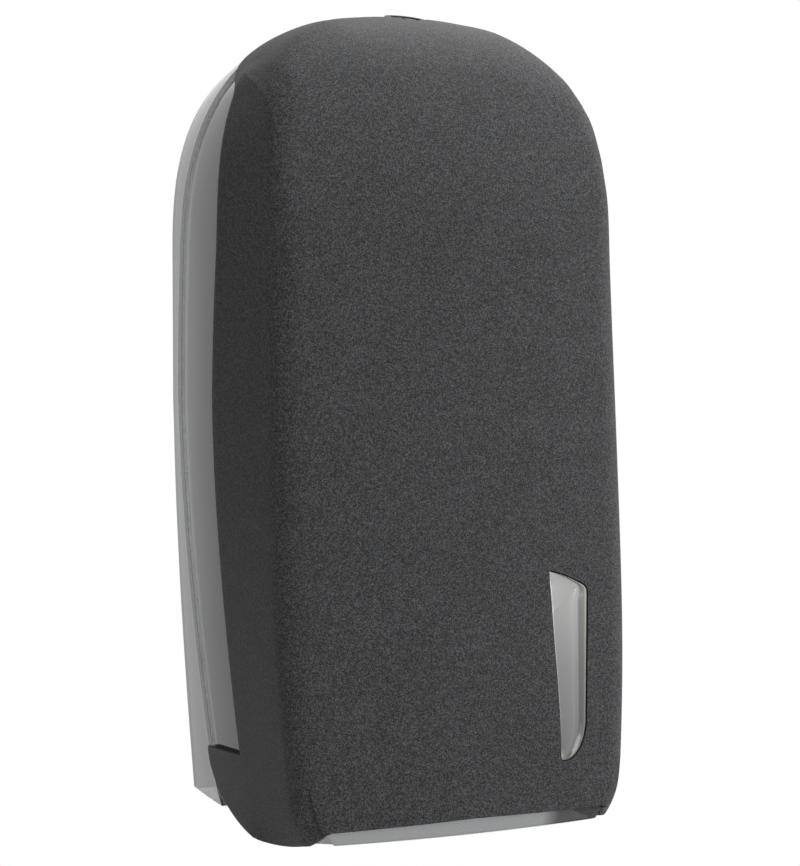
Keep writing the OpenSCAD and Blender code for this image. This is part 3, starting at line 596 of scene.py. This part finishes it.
def cover_sheet(off):
    """One sheet of the cover; under the ledge each point first finds its depth, then its height."""
    v = columns[None, :]

    def foot(t):
        """Rows from the lower edge, which climbs from the toe to the front's foot, up to the ledge."""
        depth = -section(level(chin_top * t), off, chin_back, v)[..., 1]
        toe = chin_height(case_d - toe_back)
        rear = chin_height(depth)
        rear = np.where(depth > chin_low_d, np.minimum(rear, toe - toe_step), rear)
        climb = [toe - toe_step, toe, front_foot - 2, front_foot - 1.2, front_foot]
        under = np.where(v <= 2, rear, np.interp(v, [2, 2 + 1 / 3, 2 + 2 / 3, 3, 4], climb))
        return section(level(mix(under, chin_top, t)), off, chin_back, v)
    return loft(lambda s: section(s, off, cover_rear(s), v), foot)


cover_wall = closed_wall(cover_sheet(0.0), cover_sheet(cover_t), first_fan)
front_cover = make_piece("front_cover_skin", cover_wall, "door", ["front_cover"])

# %% [markdown]
# ## Holes in the door: where they go, and the cuts
# Holes could be left out of the grid, but their edges would then follow the grid's
# squares. Cutting with closed tools gives round edges, as the mould's pins do. The
# cover gets the lock's hole, the opening of the level window and the blind seats of
# its screws; the shell gets the lock's hole and those of bushes, clips and screws.

# %% Places of lock, hinge and screws
# The lock leans with the top. An ear of the frame stands ear_gap beside the head of each bush.
# The clips' pegs sit at clip_z, clip_back deeper than the side edge at mid height.
lock_d, lock_tilt, lock_r, lock_z = 60.0, 15.96, 8.0, 305.4
ear_r, ear_gap, bush_head, bush_fit = 7.0, 0.2, 2.2, 0.25
clip_z, clip_back = 67.0, 10.0
cover_screws = [(-50, 118), (50, 118), (-46, 204), (46, 204)]
lean = math.radians(lock_tilt)
lock_axis = np.array([0.0, -math.sin(lean), math.cos(lean)])
lock_face = np.array([0.0, -lock_d, lock_z])


def wall_x(z, d):
    """Half width of the case at height z and depth d, also where the wall runs in to the crease."""
    s = level(np.array(float(z)))
    edge, corner = edge_depth(s), front_point(s, crease_at(s, 0.0), 0.0)
    if d < edge:
        return float(half_width(s[1]) - side_inset(s, d))
    return float(mix(half_width(s[1]), corner[0], (d - edge) / (-corner[1] - edge)))


bush_x = wall_x(hinge_z - hinge_r - 5, hinge_d + hinge_r + 5) - inner_off - bush_fit
ear_x = bush_x - bush_head - ear_gap - frame_t
print("bushes end at", round(bush_x, 2), "and the ears start at", round(ear_x, 2), "from the middle")

# %% [markdown]
# ## Outline of the level window
# The window is a leaf shape with a slanted top. It is kept as two lines, a left and a
# right one, that both start and end in the same corners: the opening in the cover runs
# round them, and the pane is blended between them.

# %% Outline of the level window
# Both lines run up from the lower left corner to the upper left one: the right line goes round
# the bottom, the right side and the slanted top, the left line goes straight up.
window_right = np.array([[36.5, 29.9], [36.9, 29.0], [37.9, 28.8], [40.2, 29.2], [42.6, 30.6], [44.8, 33.0],
                         [46.6, 36.6], [47.7, 41.0], [48.4, 55.0], [49.4, 76.0], [50.0, 89.6], [49.8, 91.2],
                         [48.5, 92.4], [44.0, 94.6], [39.0, 96.6], [33.5, 98.2]])
window_left = np.array([[36.5, 29.9], [36.7, 36.0], [36.6, 44.5], [36.0, 58.0], [35.1, 71.8], [34.3, 86.0],
                        [33.5, 98.2]])
# The pane has window_steps rows of faces, and the opening is window_fit larger all round.
window_steps, window_fit = 90, 0.5


def walk(points, steps):
    """A line through points, cut into even steps of its length."""
    run = np.concatenate([[0], np.cumsum(np.linalg.norm(np.diff(points, axis=0), axis=1))])
    at = np.linspace(0, run[-1], steps + 1)
    return np.stack([np.interp(at, run, points[:, k]) for k in range(2)], axis=1)


def grown(ring, by):
    """A closed ring of points moved out along its own normals."""
    along = np.roll(ring, -1, axis=0) - np.roll(ring, 1, axis=0)
    out = np.stack([along[:, 1], -along[:, 0]], axis=1)
    return ring + by * out / np.linalg.norm(out, axis=1, keepdims=True)


print("the window is", round(np.ptp(window_right[:, 1]), 1), "mm high")

# %% Holes
def hole(origin, axis, length, radius, steps=48):
    """A straight round cutter."""
    return lathe([(0, radius), (length, radius)], origin, axis, steps)


def wall_seat(side, outside_x, d, z, radius, steps=48):
    """A round cutter through the shell's side wall, for a bush or a clip; it starts 4 inside it."""
    return hole([side * (outside_x - inner_off - 4), -d, z], [side, 0, 0], 10, radius, steps)


ring = grown(np.concatenate([walk(window_right, 60)[:-1], walk(window_left, 50)[:0:-1]]), window_fit)
opening = prism(np.stack([ring[:, 0], 0 * ring[:, 0], ring[:, 1]], axis=1), [0, -90, 0], [0, -60, 0])
lock_hole = hole(lock_face - 14 * lock_axis, lock_axis, 24, lock_r + 0.3, 64)
blind_seats = [hole([x, -front_depth(x, z, cover_t - 1), z], [0, 1, 0], 20, 1.7, 32) for x, z in cover_screws]
carve(front_cover, [lock_hole, opening, *blind_seats])
shell_holes = [lock_hole] + [hole([x, -case_d - 5, z], [0, 1, 0], 40, 1.8, 32) for x, z in cover_screws]
for side in (-1, 1):
    shell_holes.append(wall_seat(side, wall_x(hinge_z, hinge_d), hinge_d, hinge_z, hinge_r + 2.25))
    shell_holes.append(wall_seat(side, wall_x(clip_z, edge_mid), edge_mid + clip_back, clip_z, 2.3, 40))
carve(door_shell, shell_holes)

# %% [markdown]
# ## The clear frame on the wall
# The frame is a shallow tray: a flat back, a side wall that the door meets at the seam,
# and a thin tongue, set in by a few millimetres, that the door closes over. One profile
# swept round the case gives all three, and two ears added below carry the hinge pins.
# The small step between tongue and side wall is marked for a painted highlight, as a moulded edge.

# %% Wall frame
# The tongue's length above and at the foot, its inset, its gap to the door over it, the height
# over which it runs out below the ledge, and over which it steps in beside the hinge.
tongue_l, tongue_foot, tongue_inset, tongue_gap, runout_l, step_l = 22.0, 2.0, 7.5, 1.0, 8.0, 30.0


def tongue_step(s):
    """How far the tongue steps in beside the hinge, so that the foot of the door swings past it."""
    wide = half_width(s[1]) - side_inset(s, seam_depth(s)) - tongue_inset - ear_x - frame_t
    beside = ease((hinge_z + swing_r + step_l - s[1]) / step_l)
    return np.where(s[3] > 0, 0, np.maximum(0, wide) * beside)


def tongue_length(s):
    """Length of the tongue: it runs out as a square below the ledge."""
    low = unit((s[1] - chin_top + runout_l) / (ledge_rise + runout_l)) ** 2
    return np.where(s[3] > 0, tongue_l, mix(tongue_foot, tongue_l, low))


def tongue_place(s, deeper):
    """Fraction of the reach where the tongue stands, kept clear of the door over it."""
    seam, edge = seam_depth(s), edge_depth(s)
    own = 1 - (side_inset(s, seam) + tongue_inset + tongue_step(s)) / reach(s)
    at = crease_at(s, inner_off)
    share = (seam + tongue_length(s) - edge) / (-front_point(s, at, inner_off)[..., 1] - edge)
    door = np.where(share < 0, 1, mix(1 - inner_off / reach(s), at, share))
    return np.minimum(own, door - tongue_gap / reach(s)) - deeper / reach(s)


frame_columns = np.concatenate([np.arange(4) / 4, 1 + np.arange(3) / 3, 2 + np.arange(8) / 8,
                                3 + np.arange(5) / 4])


def frame_sheet(thick, back):
    """Half rows of the frame, thick under its outside: tongue, ledge, side wall and back plate."""
    v = frame_columns[None, :]

    def point(s):
        """Points of cuts s: four straight stretches between five corners of the profile."""
        seam = seam_depth(s)
        f = tongue_place(s, thick)
        front = place(s, f, seam + tongue_length(s))
        root = place(s, f, seam - thick)
        flush = side_point(s, seam - thick, frame_off + thick)
        rim = side_point(s, back + 0 * seam, frame_off + thick)
        middle = place(s, 0 * seam, back)
        parts = [mix(front, root, unit(v)[..., None]), mix(root, flush, unit(v - 1)[..., None]),
                 side_point(s, mix(seam - thick, back, unit(v - 2)), frame_off + thick),
                 mix(rim, middle, unit(v - 3)[..., None])]
        return np.select([(v <= k + 1)[..., None] for k in range(4)], parts)
    return loft(point, lambda t: point(level(mix(shell_foot, chin_top, t))))


# The step between tongue and side wall gets a weak painted highlight mark.
step_highlight_mark = np.where((frame_columns > 0.9) & (frame_columns < 2.05), 0.35, 0.0)
step_highlight_mark = np.concatenate([step_highlight_mark, step_highlight_mark[-2::-1]])
frame_wall = closed_wall(frame_sheet(0.0, 0.0), frame_sheet(frame_t, plate_t), first_fan, 0.35, step_highlight_mark)
back_frame = make_piece("wall_frame", frame_wall, "wall_side", ["back_frame"])

# %% [markdown]
# ## Ears and holes of the frame
# Two ears stand forward from the frame and hold the hinge pins beside the door's
# bushes. They are flat plates, so they are added as solids and not woven into the
# surface. The wall screws, the small screws, the pins and the lock's keeper get holes.

# %% Ears and holes of the frame
# Places of the holes: screws of throat plate and guides (across, up), slot and rivets of the keeper.
plate_screws = [(38, 24), (47.5, 60), (47.5, 187)]
small_r, keeper_half, keeper_over, rivet_x, rivet_d, rivet_step = 1.7, 14.0, 4.0, 23.5, 5.5, 11.0
keeper_low = case_h - 20


def ear(side):
    """An ear: a plate with a round front that stands from the seam to the hinge pin."""
    turn = np.radians(np.arange(-90, 91, 7.5))
    line = [[0, -seam_low - 8, hinge_z - ear_r]]
    line += [[0, -hinge_d - ear_r * math.cos(a), hinge_z + ear_r * math.sin(a)] for a in turn]
    line += [[0, -seam_low - 8, hinge_z + ear_r]]
    return prism(line, [side * ear_x, 0, 0], [side * frame_t, 0, 0])


carve(back_frame, [ear(side) for side in (-1, 1)], "UNION")
cuts = []
for side in (-1, 1):
    cuts += [hole([side * screw_dx / 2, 1, screw_mid_z + up * screw_dz / 2], [0, -1, 0], 5, screw_r)
             for up in (-1, 1)]
    cuts += [hole([side * x, -plate_t - 1, z], [0, 1, 0], 3.2, small_r, 32) for x, z in plate_screws]
    cuts.append(hole([side * (ear_x - 4), -hinge_d, hinge_z], [side, 0, 0], 10, hinge_r + 0.25))
cuts.append(block([-keeper_half, -seam_top - tongue_l - keeper_over, keeper_low],
                  [keeper_half, -seam_top - 10, case_h - 4]))
cuts += [hole([rivet_x, -seam_top - rivet_d - rivet_step * k, keeper_low], [0, 0, 1], 16, 1.5, 32)
         for k in (0, 1)]
carve(back_frame, cuts)

# %% [markdown]
# ## The level window
# A small thick pane shows how much tissue is left. Its face is a flat field, a flat
# band and a steep bevel towards the right edge, which all run out into the corners at
# both ends. Blending a left and a right edge line gives just that: each band is a
# fixed share of the width.

# %% Level window
# From crowd_from of the way up on, over crowd_over, the bands take only crowd_share of their width.
crowd_from, crowd_over, crowd_share = 0.76, 0.08, 0.3
pane_back = 1.7


def pane_lines(across):
    """Points between the left and the right line of the pane; towards the top the columns crowd
    to the right line, so that the bands stay narrow along the slanted top edge."""
    left, right = walk(window_left, window_steps)[:, None, :], walk(window_right, window_steps)[:, None, :]
    crowd = ease((np.linspace(0, 1, window_steps + 1)[:, None] - crowd_from) / crowd_over)
    crowded = 1 - (1 - across[None, :]) * crowd_share
    share = mix(across[None, :], crowded, crowd * unit(across / crowd_share)[None, :])
    return mix(left, right, share[..., None]), np.linalg.norm(right - left, axis=-1)


def pane_sheet(is_face):
    """Rows run up the pane and columns across; the face sinks by a profile over the width (flat
    field, flat band, steep bevel, rim), and the back is level."""
    across = np.array([0, 0.03, 0.28, 0.53, 0.56, 0.66, 0.75, 0.78, 0.84, 0.90, 0.94, 0.97, 1.0])
    sink = np.array([0.25, 0.55, 0.62, 0.66, 0.74, 0.76, 0.74, 0.70, 0.40, 0.12, 0.02, 0.0, 0.0])
    flat, width = pane_lines(across)
    sunk = sink[None, :] * unit(width / 6) if is_face else pane_back
    x, z = flat[..., 0], flat[..., 1]
    return np.stack([x, -front_depth(x, z, 0.3) + sunk, z], axis=-1)


def band_share(points):
    """How far across the pane each point lies, 0 at the left line to 1 at the right one, read
    from the nearest point of a fine grid between the two lines."""
    share = np.linspace(0, 1, 101)
    grid = pane_lines(share)[0].reshape(-1, 2)
    gap = np.linalg.norm(points[:, None, :] - grid[None, :, :], axis=-1)
    return np.tile(share, window_steps + 1)[gap.argmin(axis=1)]


no_fan = 10 ** 6
pane_wall = closed_wall(pane_sheet(True), pane_sheet(False), no_fan, 0.2)
level_window = make_piece("level_window_pane", pane_wall, "door", ["level_window"], 20.0)
spots_at = np.empty(3 * len(level_window.data.vertices))
level_window.data.vertices.foreach_get("co", spots_at)
across = band_share(spots_at.reshape(-1, 3)[:, [0, 2]] * 1000 + [0, screw_mid_z])
level_window.data.attributes.new("across", "FLOAT", "POINT").data.foreach_set("value", across)
print("pane points from", across.min(), "to", across.max(), "across")

# %% [markdown]
# ## Finishes: how a material is put together
# A material in Blender is a small network of nodes. One helper adds a node with its
# settings and its incoming links, so that each finish below reads as a short recipe.
# Colours are written as they look on a screen and turned into the linear values that
# light calculations need.

# %% Helpers for materials
mm = 0.001
# Settings of a Mix node that multiplies two colours: its sockets 6 and 7 take them, and its
# output 2 gives the product.
multiply = {"data_type": "RGBA", "blend_type": "MULTIPLY", "Factor": 1.0}


def linear(code):
    """An sRGB colour such as 4a4b4d as linear red, green, blue and alpha."""
    c = np.array([int(code[k:k + 2], 16) for k in (0, 2, 4)]) / 255
    return (*np.where(c > 0.04045, ((c + 0.055) / 1.055) ** 2.4, c / 12.92), 1.0)


def scale_of(size_mm):
    """Scale of a pattern on object coordinates (metres) whose spots are about size_mm across."""
    return 1000 / size_mm


def join(tree, node, links):
    """Links sources to a node's sockets; a node given as a source stands for its first output."""
    for key, source in dict(links).items():
        socket = source.outputs[0] if isinstance(source, bpy.types.Node) else source
        tree.links.new(socket, node.inputs[key])


def add(tree, kind, settings=(), links=()):
    """One node: settings are its own options, the values of its sockets or, as stops, the positions
    and colour codes of a ramp, which has two stops from the start; links are its sources."""
    node = tree.nodes.new("ShaderNode" + kind)
    for key, value in dict(settings).items():
        if key == "stops":
            for k, (at, code) in enumerate(value):
                stop = node.color_ramp.elements[k] if k < 2 else node.color_ramp.elements.new(at)
                stop.position, stop.color = at, linear(code)
        elif isinstance(key, str) and hasattr(node, key):
            setattr(node, key, value)
        else:
            node.inputs[key].default_value = value
    join(tree, node, links)
    return node


def new_material(name, shader_settings):
    """A material with one Principled shader; returns it, its tree, the shader and object coordinates."""
    material = bpy.data.materials.new(name)
    material.use_nodes = True
    tree = material.node_tree
    shader = tree.nodes["Principled BSDF"]
    for key, value in shader_settings.items():
        shader.inputs[key].default_value = value
    return material, tree, shader, add(tree, "TexCoord").outputs["Object"]


def dress(obj, material):
    """Gives a piece its one material, in slot 0 for all its faces."""
    obj.data.materials.clear()
    obj.data.materials.append(material)
    obj.data.polygons.foreach_set("material_index", np.zeros(len(obj.data.polygons), np.int32))


print("the sRGB grey 414142 is", [round(v, 3) for v in linear("414142")[:3]], "in linear light")

# %% [markdown]
# ## Dark grained cover
# The cover is moulded from dark grey ABS with a sand blasted grain. The steel of the
# mould is pitted by grit, and light breaks on the pits into salt and pepper specks.
# Cells that each have their own grey give the specks; a real grain has cells of about
# 0.2 mm, and they are drawn 0.38 mm wide so that they show. A soft noise in the relief
# breaks up the gloss, and a faint blotch 14 mm wide keeps large faces from looking flat.

# %% Cover material
grain_mm, relief_mm, blotch_mm = 0.38, 0.55, 14.0


def make_grained():
    """Dark matt ABS: specks of three greys, rougher where they are lighter, and a fine relief."""
    material, tree, shader, where = new_material("grained_dark_abs", {
        "IOR": 1.5, "Specular IOR Level": 0.08})
    cells = add(tree, "TexVoronoi", {"Scale": scale_of(grain_mm), "Randomness": 1.0}, {"Vector": where})
    specks = cells.outputs["Color"]
    tone = add(tree, "ValToRGB", {"stops": [(0.15, "272728"), (0.85, "595a5b"), (0.50, "3c3c3d")]},
               {"Fac": specks})
    blotch = add(tree, "TexNoise", {"Scale": scale_of(blotch_mm), "Detail": 2.0, "Roughness": 0.6},
                 {"Vector": where})
    shade = add(tree, "ValToRGB", {"stops": [(0.3, "f1f1f2"), (0.7, "fbfbfc")]}, {"Fac": blotch})
    colour = add(tree, "Mix", multiply, {6: tone, 7: shade}).outputs[2]
    gloss = add(tree, "MapRange", {"To Min": 0.5, "To Max": 0.7}, {"Value": specks})
    fine = add(tree, "TexNoise", {"Scale": scale_of(relief_mm), "Detail": 1.0, "Roughness": 0.6},
               {"Vector": where})
    relief = add(tree, "Bump", {"Strength": 1.0, "Distance": 0.2 * mm}, {"Height": fine})
    join(tree, shader, {"Base Color": colour, "Roughness": gloss, "Normal": relief})
    return material


dress(front_cover, make_grained())
print("grain of", grain_mm, "mm on", front_cover.name)

# %% [markdown]
# ## Smoke clear plastic
# Frame and door shell are injection moulded from grey tinted clear plastic. Both walls
# have real thickness here, so light bends at each face. The door is darker and hazier
# than the frame: tongue and guides behind it show only faintly. Moulded edges get a
# painted highlight: a pale colour, a little frost and some mirror, which draw the bright
# streaks of light along them. The index of refraction is set under the 1.5 of the real
# plastic: plain white surroundings would otherwise mirror too strongly at the flanks and
# hide the smoke. A very faint waviness keeps reflections from looking drawn with a ruler.

# %% Clear material
def make_clear(name, tint, roughness, clear):
    """Tinted plastic, as clear as clear says; its marked edges get a painted highlight: paler, frosted and
    partly mirror.
    """
    material, tree, shader, where = new_material(name, {
        "IOR": 1.36, "Specular IOR Level": 0.15})
    edge = add(tree, "Attribute", {"attribute_name": "edge"}).outputs["Fac"]
    # Painted highlight: the mark edge turns the colour pale (e4e5e6), adds frost, takes clearness away and
    # adds mirror.
    colour = add(tree, "ValToRGB", {"stops": [(0.25, tint), (0.75, "e4e5e6")]}, {"Fac": edge})
    cloud = add(tree, "TexNoise", {"Scale": scale_of(6.0), "Detail": 2.0, "Roughness": 0.6},
                {"Vector": where})
    haze = add(tree, "MapRange", {"To Min": roughness * 0.6, "To Max": roughness * 1.4}, {"Value": cloud})
    frost = add(tree, "Math", {"operation": "MULTIPLY_ADD", 1: 0.3}, {0: edge, 2: haze})
    through = add(tree, "MapRange", {"To Min": clear, "To Max": 0.5}, {"Value": edge})
    # The mirror on marked edges is a painted reflection.
    mirror = add(tree, "MapRange", {"To Min": 0.0, "To Max": 0.85}, {"Value": edge})
    wave = add(tree, "TexNoise", {"Scale": scale_of(22.0), "Detail": 1.0, "Roughness": 0.6},
               {"Vector": where})
    relief = add(tree, "Bump", {"Strength": 0.12, "Distance": 0.15 * mm}, {"Height": wave})
    join(tree, shader, {"Base Color": colour, "Roughness": frost, "Transmission Weight": through,
                        "Metallic": mirror, "Normal": relief})
    return material


# Smoke grey polycarbonate on the door: dark and hazy.
clear_door = make_clear("smoke_clear_door", "5b5c5d", 0.05, 0.6)
# The same plastic on the frame: one wall only, so lighter and clearer.
clear_frame = make_clear("smoke_clear_frame", "8c8d8e", 0.05, 0.85)
dress(door_shell, clear_door)
dress(back_frame, clear_frame)
print("clear pieces:", door_shell.name, "and", back_frame.name)

# %% [markdown]
# ## Milky window pane
# The pane is milky polycarbonate: a little see through, with a sheen. Its colour has painted
# light: lighter towards its top, where more light reaches it, and painted shade on its bevel,
# which turns away from the light. The mesh carries how far across the pane each point
# lies, so the bands of painted light and shade follow the bands of the shape.

# %% Pane material
pane_low_z, pane_high_z = 28.0, 96.0


def make_pane():
    """Grey milky plastic with painted light: lighter towards the top, and painted shade on the bevel at the
    side.
    """
    material, tree, shader, where = new_material("milky_window_plastic", {
        "Transmission Weight": 0.15, "IOR": 1.58, "Coat Weight": 0.3, "Coat Roughness": 0.08})
    height = add(tree, "SeparateXYZ", links={"Vector": where}).outputs["Z"]
    # Painted light: the colour grows lighter from the pane's foot to its top.
    up = add(tree, "MapRange", {"From Min": (pane_low_z - screw_mid_z) * mm,
                                "From Max": (pane_high_z - screw_mid_z) * mm}, {"Value": height})
    tone = add(tree, "ValToRGB", {"stops": [(0.0, "6e6e6d"), (1.0, "bcbcbb"), (0.5, "8e8e8e")]}, {"Fac": up})
    across = add(tree, "Attribute", {"attribute_name": "across"}).outputs["Fac"]
    # Painted light and shade across the pane: darker on the bevel, lighter at the rim.
    band_light_and_shade = add(tree, "ValToRGB", {"stops": [
        (0.0, "ececec"), (1.0, "fffdf8"), (0.52, "f0f0f0"), (0.56, "fcfcfc"),
        (0.74, "fafafa"), (0.79, "b2b3ad"), (0.91, "bcbdb6"), (0.96, "fffdf8")]}, {"Fac": across})
    colour = add(tree, "Mix", multiply, {6: tone, 7: band_light_and_shade}).outputs[2]
    satin = add(tree, "TexNoise", {"Scale": scale_of(1.5), "Detail": 2.0, "Roughness": 0.6},
                {"Vector": where})
    gloss = add(tree, "MapRange", {"To Min": 0.18, "To Max": 0.3}, {"Value": satin})
    wave = add(tree, "TexNoise", {"Scale": scale_of(4.0), "Detail": 2.0, "Roughness": 0.6},
               {"Vector": where})
    relief = add(tree, "Bump", {"Strength": 0.08, "Distance": 0.05 * mm}, {"Height": wave})
    join(tree, shader, {"Base Color": colour, "Roughness": gloss, "Normal": relief})
    return material


dress(level_window, make_pane())
print("pane dressed in", level_window.data.materials[0].name)

# %% [markdown]
# ## Guides, metal, lock and bushes
# The guides and clips are plain polystyrene with a fine matt texture, which gives a
# soft even grey. Pins, screws, keeper and cam are zinc plated steel with fine turning
# lines, so their shine is drawn out along the lines. The barrel and the bushes are
# black acetal, a dull black, and the lock's ring has a dark matt lacquer. Each gets
# its own tone and its own relief.

# %% Small materials
def make_matt(name, dark, light, size_mm, low, high, depth_mm, gloss=0.5):
    """Plain moulded plastic with a fine texture: two close tones and a matt relief."""
    material, tree, shader, where = new_material(name, {"IOR": 1.5, "Specular IOR Level": gloss})
    spots = add(tree, "TexNoise", {"Scale": scale_of(size_mm), "Detail": 2.0, "Roughness": 0.6},
                {"Vector": where})
    tone = add(tree, "ValToRGB", {"stops": [(0.3, dark), (0.7, light)]}, {"Fac": spots})
    rough = add(tree, "MapRange", {"To Min": low, "To Max": high}, {"Value": spots})
    fine = add(tree, "TexNoise", {"Scale": scale_of(size_mm * 0.8), "Detail": 2.0, "Roughness": 0.6},
               {"Vector": where})
    relief = add(tree, "Bump", {"Strength": 0.3, "Distance": depth_mm * mm}, {"Height": fine})
    join(tree, shader, {"Base Color": tone, "Roughness": rough, "Normal": relief})
    return material


def make_metal(name, dark, light, low, high, line_mm, stretch):
    """Metal with turning lines line_mm apart: noise, stretched along the axis where stretch is small."""
    material, tree, shader, where = new_material(name, {"Metallic": 1.0})
    lines = add(tree, "Mapping", {"Scale": stretch}, {"Vector": where})
    marks = add(tree, "TexNoise", {"Scale": scale_of(line_mm), "Detail": 3.0}, {"Vector": lines})
    tone = add(tree, "ValToRGB", {"stops": [(0.3, dark), (0.7, light)]}, {"Fac": marks})
    rough = add(tree, "MapRange", {"To Min": low, "To Max": high}, {"Value": marks})
    relief = add(tree, "Bump", {"Strength": 0.15, "Distance": 0.02 * mm}, {"Height": marks})
    join(tree, shader, {"Base Color": tone, "Roughness": rough, "Normal": relief})
    return material


# Moulded polystyrene: a pale satin grey.
guide_plastic = make_matt("light_grey_polystyrene", "c4c4c5", "d0d0d1", 0.9, 0.42, 0.55, 0.03)
# Turned acetal: nearly black, with a dull sheen.
black_acetal = make_matt("black_acetal", "0c0c0d", "141415", 0.7, 0.4, 0.55, 0.02, 0.2)
# Turned steel with a zinc plating: bright, with the shine drawn out along the lines.
zinc_steel = make_metal("zinc_plated_steel", "a9abad", "c6c8c9", 0.22, 0.36, 10 / 9, (1.0, 1.0, 0.15))
# Dark lacquer on the lock's ring: it hardly shines, so the ring stays quiet on the cover.
dark_ring = make_matt("dark_lacquered_ring", "29292a", "333334", 0.5, 0.5, 0.65, 0.02, 0.1)
# The bottom plate is moulded from the frame's plastic, but lies open and looks clearer.
clear_plate = make_clear("smoke_clear_plate", "9a9b9d", 0.08, 0.9)
finishes = {
    clear_plate: ["throat_plate"],
    guide_plastic: ["tissue_guide_left", "tissue_guide_right", "cover_clip_left", "cover_clip_right"],
    black_acetal: ["hinge_bush_left", "hinge_bush_right", "lock_barrel"],
    dark_ring: ["lock_collar"],
    zinc_steel: ["throat_screws", "guide_screws", "lock_keeper", "keeper_rivets", "hinge_pin_left",
                 "hinge_pin_right", "cover_screws", "collar_nut", "lock_cam", "cam_washer", "cam_screw"],
}
for material, names in finishes.items():
    for name in names:
        for place_in in nodes[name].material_slots:
            place_in.material = material
print("finished nodes:", sum(len(names) for names in finishes.values()))

# %% [markdown]
# ## Studio
# A pale floor lies below the wall piece and keeps its shadow. The world is white to the
# camera, in mirror images and through clear plastic, but lights the piece at a plain
# level. One soft box hangs over the case, one stands at the right, and one fills from
# the front, so each face of the arch gets its own tone.

# %% Floor and world
floor_r, floor_y, floor_z, floor_sides = 0.9, -0.2, -1.05, 96
plain_light = 0.34

angle = np.arange(floor_sides) * 2 * np.pi / floor_sides
floor_mesh = bpy.data.meshes.new("floor")
floor_ring = [np.cos(angle) * floor_r, np.sin(angle) * floor_r + floor_y, 0 * angle + floor_z]
floor_mesh.from_pydata(np.stack(floor_ring, axis=1), [], [list(range(floor_sides))])
floor = bpy.data.objects.new("floor", floor_mesh)
bpy.context.scene.collection.objects.link(floor)
pale, tree, shader, where = new_material("pale_floor", {"Roughness": 0.8})
cloud = add(tree, "TexNoise", {"Scale": scale_of(40.0), "Detail": 2.0, "Roughness": 0.6},
            {"Vector": where})
floor_tone = add(tree, "ValToRGB", {"stops": [(0.3, "f2f2f2"), (0.7, "f6f6f6")]}, {"Fac": cloud})
join(tree, shader, {"Base Color": floor_tone})
floor_mesh.materials.append(pale)

world = bpy.data.worlds.new("studio")
bpy.context.scene.world = world
world.use_nodes = True
tree = world.node_tree
tree.nodes.clear()
rays = add(tree, "LightPath").outputs
mirrored = add(tree, "Math", {"operation": "MAXIMUM"}, {0: rays["Is Camera Ray"], 1: rays["Is Glossy Ray"]})
seen = add(tree, "Math", {"operation": "MAXIMUM"}, {0: mirrored, 1: rays["Is Transmission Ray"]})
light = add(tree, "Background", {"Color": (1, 1, 1, 1), "Strength": plain_light})
white = add(tree, "Background", {"Color": (1, 1, 1, 1), "Strength": 1.0})
blend = add(tree, "MixShader", {}, {0: seen, 1: light, 2: white})
add(tree, "OutputWorld", {}, {"Surface": blend})
print("floor at", floor_z, "m, world at", plain_light)

# %% [markdown]
# ## Lamps
# Large soft boxes give broad highlights that follow the form, where small lamps would
# print hard dots on the plastic. Each is an area lamp that is aimed at the case.

# %% Lamps
def soft_box(name, place_at, aim, width, height, power):
    """An area lamp at a point, turned towards another."""
    lamp = bpy.data.lights.new(name, "AREA")
    lamp.shape, lamp.size, lamp.size_y, lamp.energy = "RECTANGLE", width, height, power
    obj = bpy.data.objects.new(name, lamp)
    bpy.context.scene.collection.objects.link(obj)
    way = Vector(aim) - Vector(place_at)
    obj.location, obj.rotation_euler = place_at, way.to_track_quat("-Z", "Y").to_euler()
    return obj


# Place, aim, width and height in metres, power in watts.
soft_box("over", (0.45, 0.1, 1.2), (0, -0.06, 0.1), 1.2, 0.9, 22)
soft_box("right", (1.4, -0.35, 0.25), (0, -0.06, 0), 0.8, 1.4, 14)
soft_box("front_fill", (0.15, -1.6, 0.6), (0, -0.06, 0), 1.0, 1.0, 14.5)
bpy.context.scene.view_settings.view_transform = "Standard"
print("lamps:", [lamp.name for lamp in bpy.data.lights])

# %% [markdown]
# ## Camera
# The case is seen from the left and almost level, through a longish lens: 87 mm on a
# 36 mm sensor. A small sideways shift puts the lens axis where the perspective of the
# edges asks for it.

# %% Camera and finish
camera = bpy.data.cameras.new("camera")
camera.lens, camera.sensor_width, camera.shift_x, camera.clip_start = 87.0, 36.0, -0.0077, 0.01
eye = bpy.data.objects.new("camera", camera)
bpy.context.scene.collection.objects.link(eye)
eye.location, look_along = (-0.3327, -0.7873, 0.0227), Vector((0.41610, 0.90837, -0.04142))
eye.rotation_euler = look_along.to_track_quat("-Z", "Y").to_euler()
bpy.context.scene.camera = eye
